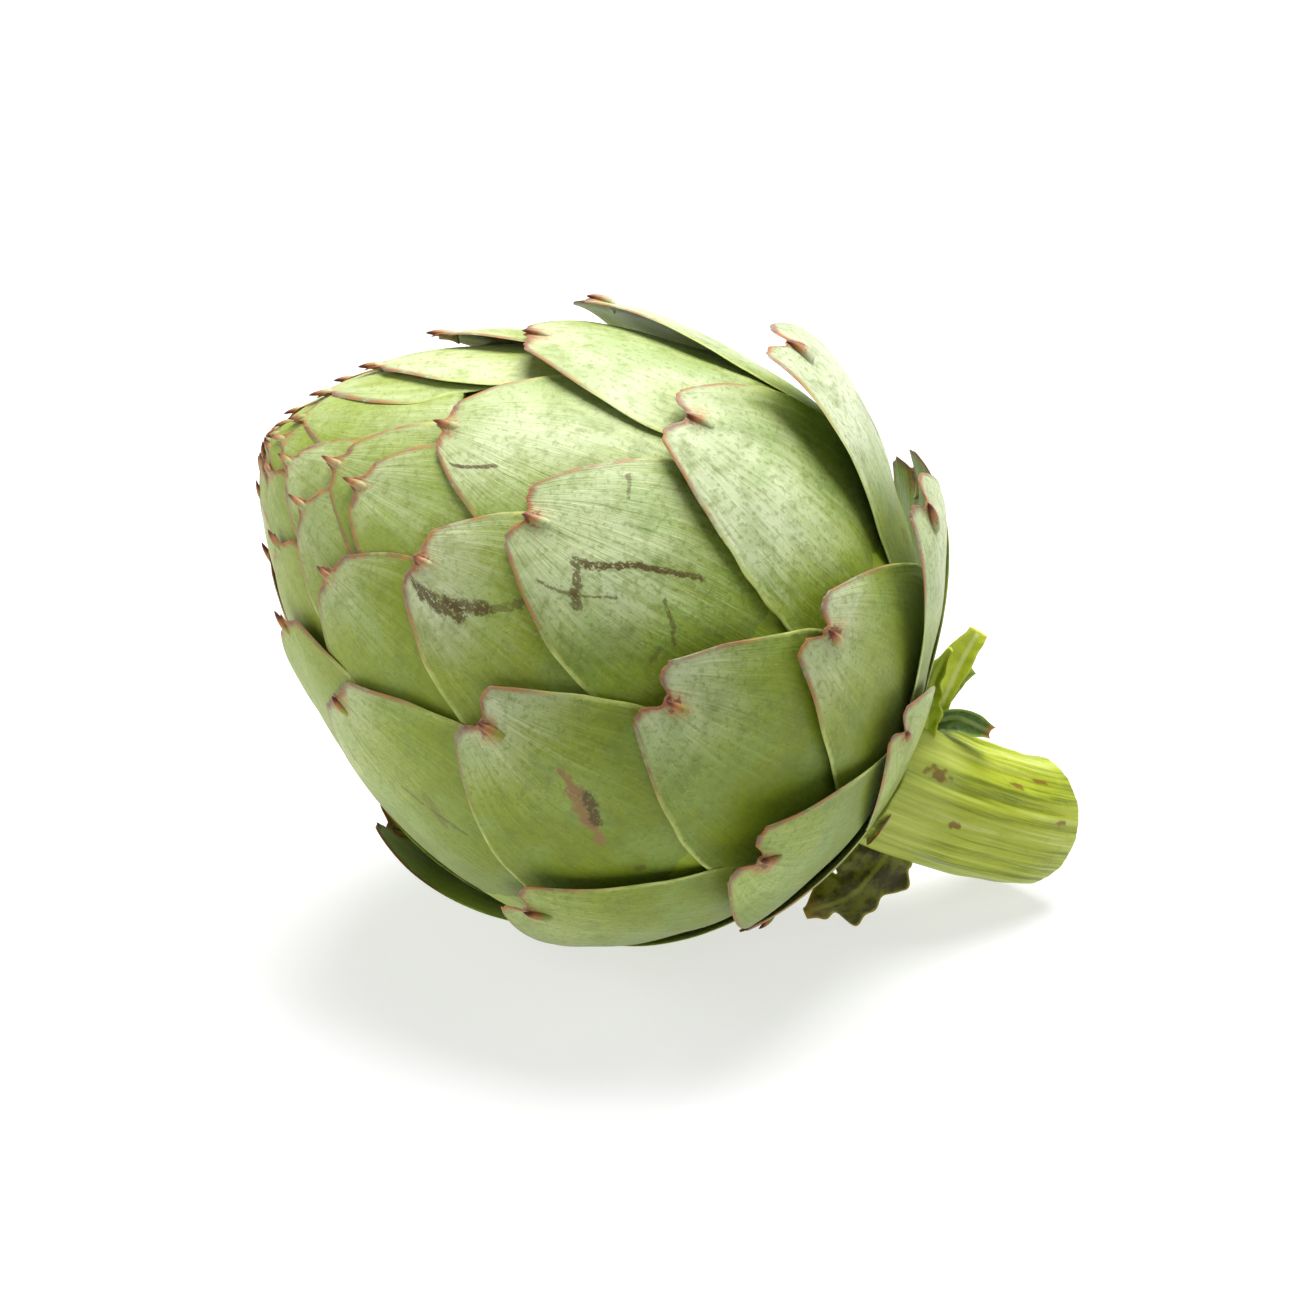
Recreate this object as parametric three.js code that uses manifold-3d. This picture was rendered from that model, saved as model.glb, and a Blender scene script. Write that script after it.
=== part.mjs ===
// A globe artichoke, picked with a short stalk and lying on its side. Millimetres, +Z up.
// The origin is the middle of the small flat spot that the head rests on. The head's axis lies
// in the XZ plane: its tip points to -X and up, and the stalk leaves it towards +X and bends to +Y.
import * as THREE from "three";
import { mergeVertices } from "three/addons/utils/BufferGeometryUtils.js";
import Module from "manifold-3d";

const wasm = await Module();
wasm.setup();

const { degToRad, lerp, smoothstep } = THREE.MathUtils;

// Head: an egg whose outline is sin(pi * t^skew)^blunt, with t from 0 at the tip to 1 at the stalk.
const HEAD_LENGTH = 115;
const HEAD_RADIUS = 50;
const OUTLINE_SKEW = 1.293;
const OUTLINE_BLUNT = 0.487;
const HEAD_TILT = degToRad(30); // of the axis above the table
const STALK_JOINT = new THREE.Vector3(43.7, 0, 23.8); // where the axis meets the stalk
const CORE_DEPTH = 3.4; // of the inner bud below the outline

// Bracts: one golden-angle spiral, counted from the lowest, outermost one.
const BRACTS = 76;
const GOLDEN_ANGLE = degToRad(137.508);
const FIRST_TURN = degToRad(251.5);
const ROW_STEP = 5.98; // along the surface, from one bract's tip to the next one's
const ROW_EASE = 14.5; // bracts over which the rows close up towards the tip of the head
const LAST_ROW = 21.5; // the bract at which the rows have half closed up
const BRACT_HALF_WIDTH = 24.5;
const BRACT_LENGTH = 50;
const SHOULDER = 32; // from the tip to where a bract is widest
const SHINGLE = 0.08; // how fast a bract dips under the next ones, per millimetre
const BLADE = 1.4; // thickness of a bract's free end
const LOBE = 0.6; // how far the two rounded lobes pass the end of a bract's sides

// Bracts that the rule leaves a little off: turn in degrees, slide and flare in millimetres, and how
// far the blade leans round the head, per millimetre.
const CORRECTIONS = {
  0: { slide: 5 },
  1: { slide: 7 },
  3: { turn: 5.1, slide: -5.8, flare: 1.5 },
  5: { slide: 6 },
  6: { turn: -8, slide: -11, flare: 5.5, lean: 0.5 },
  8: { turn: -0.6, slide: 0.3, flare: 3, lean: -0.35 },
  9: { turn: -9.3, slide: 6.5, flare: 5.2 },
  11: { turn: -9.5, slide: 4.5, flare: 0.6, lean: 0.4 },
  13: { turn: -2.4, slide: -3.8, flare: 1.2, lean: -0.3 },
  14: { turn: -16, slide: -5.5, flare: 7.2, lean: 0.65 },
  16: { turn: -1.8, slide: 6.3, flare: 0.3 },
  18: { turn: -24, slide: -3, flare: 3.6 },
  19: { turn: -4.4, slide: 1.4, flare: 1.5 },
  21: { turn: 8.1, slide: 1.3, flare: 0.3, lean: -0.33 },
  22: { turn: -7.9, slide: -5, flare: 4.2, lean: 0.3 },
  24: { turn: -3.1, slide: 0.8, flare: 0.6 },
  26: { turn: 10.6, slide: -3.7, flare: 1 },
  27: { turn: 0.2, slide: -0.7, flare: 2.2 },
  29: { turn: 8.8, slide: 1.7, flare: 0.5 },
  32: { turn: -5.4, slide: 2.1, flare: 1 },
  34: { turn: 17.1, slide: 0.4, flare: 1 },
  35: { turn: 8, slide: 3.5, flare: 2.2 },
  37: { turn: -1.7, slide: 1.7, flare: 1 },
  39: { turn: 13.6, slide: 7.8, flare: 1.6, lean: -0.5 },
  40: { turn: 26, flare: 1 },
  42: { turn: 7, slide: 0.9, flare: 0.8 },
  44: { slide: 5 },
  45: { turn: -17.8, slide: 5.7, flare: 0.8 },
  47: { turn: 5.1, slide: 5.7, flare: 0.4 },
};
const LOOSE_BRACTS = 24; // the outer ones, whose free ends are thin blades
const CHANCE_FLARE = 2;
const TIP_LIFT = 0.6; // by which the inner ones stand proud, more or less
const LEAN_REACH = 20;
const OPEN_REACH = 1.2; // how much further down a bract starts to stand off, per millimetre of flare

// Stalk: a ribbed round that bends from the head's axis towards its cut end.
const STALK_BEND = new THREE.Vector3(55, 3, 17.2);
const STALK_END = new THREE.Vector3(64.4, 14.2, 10.2);
const STALK_SOCKET = 5; // how far its top stands in the head
const STALK_RADIUS = 11.7; // at the head
const STALK_TAPER = 1.2; // how much thinner it is at the cut
const STALK_WAIST = 0.2; // how much thinner it is half way, besides
const STALK_RIBS = 13;
const RIB_HEIGHT = 0.35;

// Small leaves at the top of the stalk: points along the middle, and the widths to each side
// there, seen from the front with the leaf growing away from its root.
const LEAF_FRONT = new THREE.Vector3(0.07, -0.88, 0.47);
const LEAVES = {
  upper_leaf: {
    path: [[47.2, -1.5, 32], [47.2, -1, 38.5], [48.2, -0.5, 44], [50.6, -0.2, 49.2]],
    left: [1.2, 2.4, 2, 0.5],
    right: [1.2, 2.4, 1.5, 0.5],
    cup: 0.9,
  },
  cut_leaf: {
    path: [[48.2, 3, 33], [50.2, 3.4, 39], [52.4, 4.2, 44.5], [55, 5.6, 49.4]],
    left: [1, 1.4, 3, 1.7],
    right: [1, 1.2, 1.8, 1.6],
    cup: 0.8,
  },
  side_lobe: {
    path: [[49.5, 5.6, 35.5], [52, 5.8, 40.5], [54.2, 6, 42.2]],
    left: [1.4, 1.8, 0.9],
    right: [1, 1.5, 0.9],
    cup: -0.5,
  },
  curled_leaf: {
    path: [[49, 2, 34.8], [51.8, 2.2, 35.4], [54.5, 2.2, 34.4], [57.2, 2.8, 32.6]],
    left: [1.8, 1.7, 1.8, 1],
    right: [1.8, 2.2, 2, 1],
    cup: 1.3,
  },
  lower_leaf: {
    path: [[43, -1, 14.2], [40, -2, 9.6], [36, -3.2, 5], [28.5, -4, 1.8]],
    left: [2.2, 4.4, 3.6, 2.6, 0.8],
    right: [2.6, 5.6, 3.2, 6.6, 2.4, 4, 0.8],
    cup: -0.6,
  },
};
const LEAF_THICKNESS = 0.9;
const LEAF_ACROSS = 6;
const LEAF_ALONG = 12;

const FIT_GAP = 0.3; // between pieces that touch
const TABLE = 400;

// A repeatable random number from 0 to 1 for a whole number.
function chance(number) {
  const wave = Math.sin(number * 12.9898 + 4.1414) * 43758.5453;
  return wave - Math.floor(wave);
}

// The head's outline as a table of radius, height over the stalk joint and distance from the tip.
function outlineTable(steps = 600) {
  const rows = [];
  let along = 0;
  for (let i = 0; i <= steps; i++) {
    const t = (i / steps) ** 2 * (3 - (2 * i) / steps);
    const radius = HEAD_RADIUS * Math.max(Math.sin(Math.PI * t ** OUTLINE_SKEW), 0) ** OUTLINE_BLUNT;
    const height = HEAD_LENGTH * (1 - t);
    if (i) along += Math.hypot(radius - rows[i - 1].radius, height - rows[i - 1].height);
    rows.push({ radius, height, along });
  }
  return rows;
}

const OUTLINE = outlineTable();
const OUTLINE_END = OUTLINE.at(-1).along;

// The outline at a distance from the tip: its radius, height and outward normal.
function outlineAt(along) {
  const wanted = THREE.MathUtils.clamp(along, 0, OUTLINE_END);
  let low = 0;
  let high = OUTLINE.length - 1;
  while (high - low > 1) {
    const middle = (low + high) >> 1;
    if (OUTLINE[middle].along > wanted) high = middle;
    else low = middle;
  }
  const [a, b] = [OUTLINE[low], OUTLINE[high]];
  const share = (wanted - a.along) / (b.along - a.along);
  const slope = new THREE.Vector2(b.radius - a.radius, b.height - a.height).normalize();
  return {
    radius: lerp(a.radius, b.radius, share),
    height: lerp(a.height, b.height, share),
    normal: new THREE.Vector2(-slope.y, slope.x),
  };
}

// A point off the outline, in the head's own frame: +Z along its axis, towards the tip.
function headPoint(turn, along, off) {
  const { radius, height, normal } = outlineAt(along);
  const out = Math.max(radius + normal.x * off, 0.05);
  return new THREE.Vector3(out * Math.cos(turn), out * Math.sin(turn), height + normal.y * off);
}

// A closed mesh as a solid.
function solid(geometry) {
  const bare = new THREE.BufferGeometry();
  bare.setAttribute("position", geometry.getAttribute("position"));
  bare.setIndex(geometry.getIndex());
  const merged = mergeVertices(bare, 1e-4);
  const mesh = new wasm.Mesh({
    numProp: 3,
    vertProperties: new Float32Array(merged.getAttribute("position").array),
    triVerts: new Uint32Array(merged.getIndex().array),
  });
  return new wasm.Manifold(mesh);
}

// A solid as a geometry that a mesh can show.
function geometryOf(manifold) {
  const mesh = manifold.getMesh();
  const geometry = new THREE.BufferGeometry();
  geometry.setAttribute("position", new THREE.BufferAttribute(mesh.vertProperties, 3));
  geometry.setIndex(new THREE.BufferAttribute(mesh.triVerts, 1));
  geometry.computeVertexNormals();
  return geometry;
}

// The largest of a solid's separate bodies, so that no loose scrap is left.
function largest(manifold) {
  return manifold.decompose().sort((a, b) => b.volume() - a.volume())[0];
}

// A closed sheet with two faces, each a grid of points that a function of (column, row) places.
// With the columns going right and the rows going up, the front face looks at the viewer.
function sheet(columns, rows, front, back) {
  const points = [];
  const faces = [];
  const layer = (columns + 1) * (rows + 1);
  for (const face of [front, back]) {
    for (let row = 0; row <= rows; row++) {
      for (let column = 0; column <= columns; column++) points.push(...face(column, row).toArray());
    }
  }
  const at = (column, row) => row * (columns + 1) + column;
  const quad = (a, b, c, d) => faces.push(a, b, c, a, c, d);
  for (let row = 0; row < rows; row++) {
    for (let column = 0; column < columns; column++) {
      const [a, b, c, d] = [at(column, row), at(column + 1, row), at(column + 1, row + 1), at(column, row + 1)];
      quad(a, b, c, d);
      faces.push(layer + a, layer + c, layer + b, layer + a, layer + d, layer + c);
    }
  }
  const rim = [];
  for (let column = 0; column < columns; column++) rim.push([at(column, 0), at(column + 1, 0)]);
  for (let row = 0; row < rows; row++) rim.push([at(columns, row), at(columns, row + 1)]);
  for (let column = columns; column > 0; column--) rim.push([at(column, rows), at(column - 1, rows)]);
  for (let row = rows; row > 0; row--) rim.push([at(0, row), at(0, row - 1)]);
  for (const [a, b] of rim) quad(b, a, layer + a, layer + b);
  const geometry = new THREE.BufferGeometry();
  geometry.setAttribute("position", new THREE.Float32BufferAttribute(points, 3));
  geometry.setIndex(faces);
  return geometry;
}

// Where a bract's tip is, how large the bract is, and how it flares.
function bractPlan(index) {
  const { turn = 0, slide = 0, flare = 0, lean = 0 } = CORRECTIONS[index] ?? {};
  const rule = ROW_STEP * ROW_EASE * Math.log(1 + Math.exp((LAST_ROW - index) / ROW_EASE));
  const tip = rule + slide;
  const lowest = 1 - 0.62 * smoothstep(tip, 104, 138);
  const halfWidth = BRACT_HALF_WIDTH * (1 - Math.exp(-(tip + 3) / 22)) * lowest;
  const loose = index < LOOSE_BRACTS ? CHANCE_FLARE * chance(index) ** 2 : TIP_LIFT * (0.3 + chance(index));
  return {
    turn: FIRST_TURN + GOLDEN_ANGLE * index + degToRad(turn),
    tip,
    halfWidth,
    length: Math.min((BRACT_LENGTH * halfWidth) / BRACT_HALF_WIDTH + 4, OUTLINE_END - 9 - tip),
    notch: lerp(-2, 3.6, smoothstep(tip, 16, 70)),
    flare: CORRECTIONS[index] ? flare : loose,
    lean,
    free: index < LOOSE_BRACTS,
  };
}

const BRACT_COLUMNS = [-1, -0.7, -0.38, -0.13, 0, 0.13, 0.38, 0.7, 1];
const BRACT_ROWS = [0, 0.04, 0.16, 0.4, 0.7, 1];
const SMALL_BRACT_COLUMNS = [-1, -0.45, 0, 0.45, 1];
const SMALL_BRACT_ROWS = [0, 0.12, 0.45, 1];
const FIRST_SMALL_BRACT = 39;

// Half the width of a bract at a distance from its tip.
function bractHalfWidth(plan, distance) {
  const end = 0.24 * plan.halfWidth;
  const shoulder = SHOULDER * (plan.halfWidth / BRACT_HALF_WIDTH);
  const share = Math.min(distance / shoulder, 1);
  const widening = 1 - (1 - share) ** 1.8;
  const below = Math.max(distance - shoulder, 0) / BRACT_LENGTH;
  return lerp(end, plan.halfWidth, widening) * (1 - 0.5 * below * below);
}

// How far the end of a bract is drawn back at a place across it: two lobes with a notch between.
function bractEnd(plan, across) {
  const lobes = LOBE * (plan.halfWidth / BRACT_HALF_WIDTH) * (1 - (2 * Math.abs(across) - 1) ** 2);
  const notch = plan.notch * Math.exp(-((across / 0.2) ** 2));
  return notch - lobes;
}

// One bract, its root sunk in the bud and its free end standing off by its flare.
function bract(index) {
  const plan = bractPlan(index);
  const small = index >= FIRST_SMALL_BRACT;
  const columns = small ? SMALL_BRACT_COLUMNS : BRACT_COLUMNS;
  const rows = small ? SMALL_BRACT_ROWS : BRACT_ROWS;
  const point = (column, row, sunk) => {
    const across = columns[column];
    const share = rows[row];
    const distance = share * plan.length;
    const along = plan.tip + distance + bractEnd(plan, across) * (1 - share) ** 8;
    const radius = outlineAt(Math.max(along, 3)).radius;
    const lean = plan.lean * LEAN_REACH * (1 - Math.exp(-distance / LEAN_REACH));
    const side = Math.min(bractHalfWidth(plan, distance) / radius, 1.25) * across + lean / radius;
    const reach = 10 + 18 * (plan.halfWidth / BRACT_HALF_WIDTH) + OPEN_REACH * plan.flare;
    const flare = plan.flare * (1 - smoothstep(distance, 0, reach));
    const spine = across === 0 && row === 0 ? Math.max(-plan.notch, 0.4) * 0.5 : 0;
    const top = flare + spine - SHINGLE * distance - 0.3 * across ** 4;
    const free = plan.free ? smoothstep(flare, 0.4, 1.2) : 0;
    const bottom = lerp(-CORE_DEPTH - 1, top - lerp(BLADE, 0.7, across ** 4), free);
    return headPoint(plan.turn + side, along, sunk ? Math.min(bottom, top - 0.7) : top);
  };
  return sheet(
    columns.length - 1,
    rows.length - 1,
    (column, row) => point(column, row, true),
    (column, row) => point(column, row, false),
  );
}

// The inner bud, which the bracts stand on.
function bud() {
  const profile = [new THREE.Vector2(0, HEAD_LENGTH - CORE_DEPTH)];
  const steps = 15;
  for (let i = 1; i < steps; i++) {
    const { radius, height, normal } = outlineAt((OUTLINE_END * i) / steps);
    profile.push(new THREE.Vector2(radius - normal.x * CORE_DEPTH, height - normal.y * CORE_DEPTH));
  }
  profile.push(new THREE.Vector2(0, CORE_DEPTH));
  return new THREE.LatheGeometry(profile.reverse(), 28).rotateX(Math.PI / 2);
}

// A round, ribbed bar along a curve, larger all over by the given amount.
function ribbedBar(curve, radiusAt, around, rings, ribs, ribHeight, larger) {
  const frames = curve.computeFrenetFrames(rings, false);
  const points = [];
  const faces = [];
  for (let ring = 0; ring <= rings; ring++) {
    const share = ring / rings;
    const centre = curve.getPointAt(share);
    for (let i = 0; i < around; i++) {
      const angle = (2 * Math.PI * i) / around;
      const radius = radiusAt(share) + ribHeight * Math.cos(ribs * angle) + larger;
      const spoke = frames.normals[ring].clone().multiplyScalar(Math.cos(angle) * radius);
      spoke.addScaledVector(frames.binormals[ring], Math.sin(angle) * radius);
      points.push(...centre.clone().add(spoke).toArray());
    }
  }
  for (let ring = 0; ring < rings; ring++) {
    for (let i = 0; i < around; i++) {
      const next = (i + 1) % around;
      const [a, b] = [ring * around + i, ring * around + next];
      faces.push(a, b, b + around, a, b + around, a + around);
    }
  }
  const ends = [
    curve.getPointAt(0).addScaledVector(frames.tangents[0], -larger),
    curve.getPointAt(1).addScaledVector(frames.tangents[rings], larger),
  ];
  points.push(...ends[0].toArray(), ...ends[1].toArray());
  const first = (rings + 1) * around;
  for (let i = 0; i < around; i++) {
    const next = (i + 1) % around;
    faces.push(first, next, i, first + 1, rings * around + i, rings * around + next);
  }
  const geometry = new THREE.BufferGeometry();
  geometry.setAttribute("position", new THREE.Float32BufferAttribute(points, 3));
  geometry.setIndex(faces);
  return geometry;
}

const HEAD_AXIS = new THREE.Vector3(-Math.cos(HEAD_TILT), 0, Math.sin(HEAD_TILT));

function stalk(larger = 0) {
  const top = STALK_JOINT.clone().addScaledVector(HEAD_AXIS, STALK_SOCKET);
  const curve = new THREE.QuadraticBezierCurve3(top, STALK_BEND, STALK_END);
  const radiusAt = (share) => STALK_RADIUS - STALK_TAPER * share - STALK_WAIST * Math.sin(Math.PI * share);
  return ribbedBar(curve, radiusAt, STALK_RIBS * 4, 9, STALK_RIBS, RIB_HEIGHT, larger);
}

// A value part of the way along an evenly spaced list, smoothly joined.
function along(list, share) {
  const last = list.length - 1;
  const step = Math.min(Math.floor(share * last), last - 1);
  return lerp(list[step], list[step + 1], smoothstep(share * last - step, 0, 1));
}

// A small leaf: a curved blade that follows its path, cupped across.
function leafBlade({ path, left, right, cup }) {
  const curve = new THREE.CatmullRomCurve3(path.map((place) => new THREE.Vector3(...place)));
  const point = (column, row, face) => {
    const share = row / LEAF_ALONG;
    const across = (2 * column) / LEAF_ACROSS - 1;
    const tangent = curve.getTangent(share);
    const side = tangent.clone().cross(LEAF_FRONT).normalize();
    const front = side.clone().cross(tangent).normalize();
    const reach = across * along(across < 0 ? left : right, share);
    const depth = cup * across * across + (face * LEAF_THICKNESS * (1 - 0.25 * across ** 4)) / 2;
    const place = curve.getPoint(share).addScaledVector(side, reach).addScaledVector(front, depth);
    place.z = Math.max(place.z, FIT_GAP + 0.1 * (1 + across));
    return place;
  };
  return sheet(
    LEAF_ACROSS,
    LEAF_ALONG,
    (column, row) => point(column, row, 1),
    (column, row) => point(column, row, -1),
  );
}

// A piece cut back to stand a small gap clear of another one.
function clearOf(piece, other) {
  let rest = piece;
  for (const axis of [0, 1, 2]) {
    for (const side of [-FIT_GAP, FIT_GAP]) {
      const shift = [0, 0, 0];
      shift[axis] = side;
      rest = rest.subtract(other.translate(shift));
    }
  }
  return largest(rest);
}

// The table's side of a level plane, for cutting what would sink into the table.
function belowTable() {
  return solid(new THREE.BoxGeometry(TABLE, TABLE, TABLE)).translate([0, 0, -TABLE / 2]);
}

// The head's own frame, with +Z along its axis.
const headFrame = new THREE.Group();
headFrame.position.copy(STALK_JOINT);
headFrame.rotation.y = HEAD_TILT - Math.PI / 2;
headFrame.updateMatrixWorld(true);

function headSolid() {
  let head = solid(bud());
  for (let index = BRACTS - 1; index >= 0; index--) head = head.add(solid(bract(index)));
  head = head.transform([...headFrame.matrixWorld.elements]);
  return largest(head.subtract(solid(stalk(FIT_GAP))).subtract(belowTable()));
}

const bractGreen = new THREE.MeshStandardMaterial({ color: 0x9aab6b, roughness: 0.55, metalness: 0 });
const stalkGreen = new THREE.MeshStandardMaterial({ color: 0x94a02c, roughness: 0.5, metalness: 0 });
const leafGreen = new THREE.MeshStandardMaterial({ color: 0xa1af3e, roughness: 0.5, metalness: 0 });
const darkLeafGreen = new THREE.MeshStandardMaterial({ color: 0x3a4310, roughness: 0.5, metalness: 0 });

function node(name, geometry, material) {
  const mesh = new THREE.Mesh(geometry, material);
  mesh.name = name;
  return mesh;
}

const artichoke = new THREE.Group();
const head = headSolid();
const stalkSolid = solid(stalk()).subtract(belowTable());
artichoke.add(node("head", geometryOf(head), bractGreen));
artichoke.add(node("stalk", geometryOf(stalkSolid), stalkGreen));

const placed = [head, stalkSolid];
for (const [name, plan] of Object.entries(LEAVES)) {
  let leaf = solid(leafBlade(plan));
  for (const other of placed) leaf = clearOf(leaf, other);
  placed.push(leaf);
  artichoke.add(node(name, geometryOf(leaf), name === "lower_leaf" ? darkLeafGreen : leafGreen));
}

export default artichoke;
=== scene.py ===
"""A globe artichoke on its side: bracts round an egg-shaped head, a ribbed stalk and small leaves.

Sizes are in millimetres until a mesh is filled, which turns them into metres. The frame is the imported
model's: +Z up, the origin on the flat spot that the head rests on, +X towards the stalk.
"""
import logging
import math
from collections.abc import Sequence
from dataclasses import dataclass, field
from enum import Enum

import bpy
import numpy as np
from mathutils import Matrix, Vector


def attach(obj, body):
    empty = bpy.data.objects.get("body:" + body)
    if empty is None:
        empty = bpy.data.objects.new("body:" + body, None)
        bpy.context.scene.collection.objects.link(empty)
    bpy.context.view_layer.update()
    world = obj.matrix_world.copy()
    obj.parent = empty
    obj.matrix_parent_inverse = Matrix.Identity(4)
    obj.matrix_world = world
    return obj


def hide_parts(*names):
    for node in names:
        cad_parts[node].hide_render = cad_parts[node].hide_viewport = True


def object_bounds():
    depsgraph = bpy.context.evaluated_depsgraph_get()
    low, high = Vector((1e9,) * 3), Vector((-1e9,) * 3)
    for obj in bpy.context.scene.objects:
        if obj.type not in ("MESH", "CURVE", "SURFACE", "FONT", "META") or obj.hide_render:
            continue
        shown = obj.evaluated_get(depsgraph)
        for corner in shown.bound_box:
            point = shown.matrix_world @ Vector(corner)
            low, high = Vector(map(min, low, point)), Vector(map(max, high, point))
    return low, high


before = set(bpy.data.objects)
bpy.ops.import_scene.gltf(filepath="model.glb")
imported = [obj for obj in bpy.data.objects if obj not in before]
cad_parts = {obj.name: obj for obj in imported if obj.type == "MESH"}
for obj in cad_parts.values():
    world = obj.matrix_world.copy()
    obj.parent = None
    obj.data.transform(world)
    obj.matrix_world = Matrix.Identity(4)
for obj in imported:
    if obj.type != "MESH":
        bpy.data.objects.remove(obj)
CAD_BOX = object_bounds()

LOG = logging.getLogger("artichoke")
MM = 0.001
Colour = tuple[float, float, float, float]
Socket = bpy.types.NodeSocket
Number = float | Socket
Paint = Colour | Socket
Spot = tuple[float, float, float] | Socket


def smoothstep(value: np.ndarray | float, low: float, high: float) -> np.ndarray:
    """Return 3t^2 - 2t^3 of the value's share t of the way from low to high, held to 0..1."""
    share = np.clip((np.asarray(value, dtype=float) - low) / (high - low), 0.0, 1.0)
    return share * share * (3.0 - 2.0 * share)


def chance(number: float) -> float:
    """Return a repeatable random number from 0 to 1: the fraction of 43758.5 sin(12.99 n + 4.14)."""
    wave = math.sin(number * 12.9898 + 4.1414) * 43758.5453
    return wave - math.floor(wave)


def ripples(x: np.ndarray, y: np.ndarray, size: float, seed: float) -> np.ndarray:
    """Return smooth noise near -1..1: the mean of seven sine waves of random heading and phase.

    Args:
        x: First coordinate, in the same unit as size.
        y: Second coordinate.
        size: Typical distance between two bumps.
        seed: Any number; another seed gives another pattern.

    Returns:
        An array of the shape of x and y.
    """
    total = np.zeros(np.broadcast(x, y).shape)
    for wave in range(7):
        heading = 2.0 * math.pi * chance(seed + 11.3 * wave)
        pitch = 2.0 * math.pi / (size * (0.6 + 0.9 * chance(seed + 5.7 * wave + 2.0)))
        phase = 2.0 * math.pi * chance(seed + 3.1 * wave + 7.0)
        total = total + np.sin(pitch * (x * math.cos(heading) + y * math.sin(heading)) + phase)
    return total / 3.6


def held_inside(places: np.ndarray) -> np.ndarray:
    """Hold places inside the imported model's box: the last millimetre before a side, g, becomes e^(g-1).

    Args:
        places: (..., 3) array in millimetres.

    Returns:
        The places, none of them past a side, in the same order as before.
    """
    low, high = (np.array(corner) / MM for corner in CAD_BOX)
    gap = places - low
    places = low + np.where(gap < 1.0, np.exp(np.minimum(gap, 1.0) - 1.0), gap)
    gap = high - places
    return high - np.where(gap < 1.0, np.exp(np.minimum(gap, 1.0) - 1.0), gap)


def srgb(red: float, green: float, blue: float) -> Colour:
    """Return a colour, given 0 to 255 a channel, as linear light with alpha 1."""
    light = [
        ((c / 255 + 0.055) / 1.055) ** 2.4 if c > 10 else c / 255 / 12.92
        for c in (red, green, blue)
    ]
    return (light[0], light[1], light[2], 1.0)


@dataclass
class MeshParts:
    """Grids that gather into one mesh, with values for each vertex.

    Attributes:
        places: Vertex arrays in millimetres.
        quads: Arrays of four vertex numbers a face.
        blades: Arrays of the flat place of each vertex on its own piece, in millimetres.
        values: Named arrays of one number a vertex.
        count: Vertices so far.
    """

    places: list[np.ndarray] = field(default_factory=list)
    quads: list[np.ndarray] = field(default_factory=list)
    blades: list[np.ndarray] = field(default_factory=list)
    values: dict[str, list[np.ndarray]] = field(default_factory=dict)
    count: int = 0

    def add(self, places: np.ndarray, quads: np.ndarray, blade: np.ndarray, **values: np.ndarray) -> None:
        """Take in one surface.

        Args:
            places: (n, 3) array of vertices in millimetres.
            quads: (m, 4) array of vertex numbers, counted from this surface's first vertex.
            blade: (n, 2) array of flat places in millimetres.
            **values: (n,) arrays, the same names for every surface of one mesh.
        """
        self.places.append(places)
        self.quads.append(quads + self.count)
        self.blades.append(blade)
        for name, value in values.items():
            numbers = np.broadcast_to(value, len(places)).astype(float)
            self.values.setdefault(name, []).append(numbers)
        self.count += len(places)

    def fill(self, name: str) -> bpy.types.Object:
        """Make the mesh and its object, at the origin.

        Args:
            name: The object's name.

        Returns:
            The new object, smooth shaded, with the flat places as its UV map "Blade" (1 is 100 mm).
        """
        places = np.concatenate(self.places) * MM
        quads = np.concatenate(self.quads)
        corners = quads.ravel().astype(np.int32)
        mesh = bpy.data.meshes.new(name)
        mesh.vertices.add(len(places))
        mesh.vertices.foreach_set("co", places.astype(np.float32).ravel())
        mesh.loops.add(len(corners))
        mesh.loops.foreach_set("vertex_index", corners)
        mesh.polygons.add(len(quads))
        mesh.polygons.foreach_set("loop_start", np.arange(0, len(corners), 4, dtype=np.int32))
        mesh.polygons.foreach_set("use_smooth", np.ones(len(quads), dtype=bool))
        mesh.update(calc_edges=True)
        blade = (np.concatenate(self.blades) / 100.0)[corners]
        mesh.uv_layers.new(name="Blade").uv.foreach_set("vector", blade.astype(np.float32).ravel())
        for label, arrays in self.values.items():
            layer = mesh.attributes.new(label, "FLOAT", "POINT")
            layer.data.foreach_set("value", np.concatenate(arrays).astype(np.float32))
        mesh.validate()
        thing = bpy.data.objects.new(name, mesh)
        bpy.context.scene.collection.objects.link(thing)
        return thing


def grid_quads(rows: int, columns: int, closed: bool = False) -> np.ndarray:
    """Number the faces of a grid of vertices, front side where column x row points.

    Args:
        rows: Number of rows of vertices.
        columns: Number of vertices in a row.
        closed: Whether the last column joins the first.

    Returns:
        (n, 4) array of vertex numbers.
    """
    last = columns if closed else columns - 1
    row, column = np.meshgrid(np.arange(rows - 1), np.arange(last), indexing="ij")
    right = (column + 1) % columns
    here, above = row * columns, (row + 1) * columns
    corners = [here + column, here + right, above + right, above + column]
    return np.stack(corners, axis=-1).reshape(-1, 4)


def rim_quads(rows: int, columns: int) -> np.ndarray:
    """Number the faces that close two grids round their rim, the second numbered after the first.

    Args:
        rows: Number of rows of vertices in each grid.
        columns: Number of vertices in a row.

    Returns:
        (n, 4) array of vertex numbers.
    """
    top = np.arange(columns)
    right = np.arange(rows) * columns + columns - 1
    bottom = (rows - 1) * columns + top[::-1]
    left = np.arange(rows)[::-1] * columns
    loop = np.concatenate([top[:-1], right[:-1], bottom[:-1], left[:-1]])
    following = np.roll(loop, -1)
    layer = rows * columns
    return np.stack([following, loop, loop + layer, following + layer], axis=-1)


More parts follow.
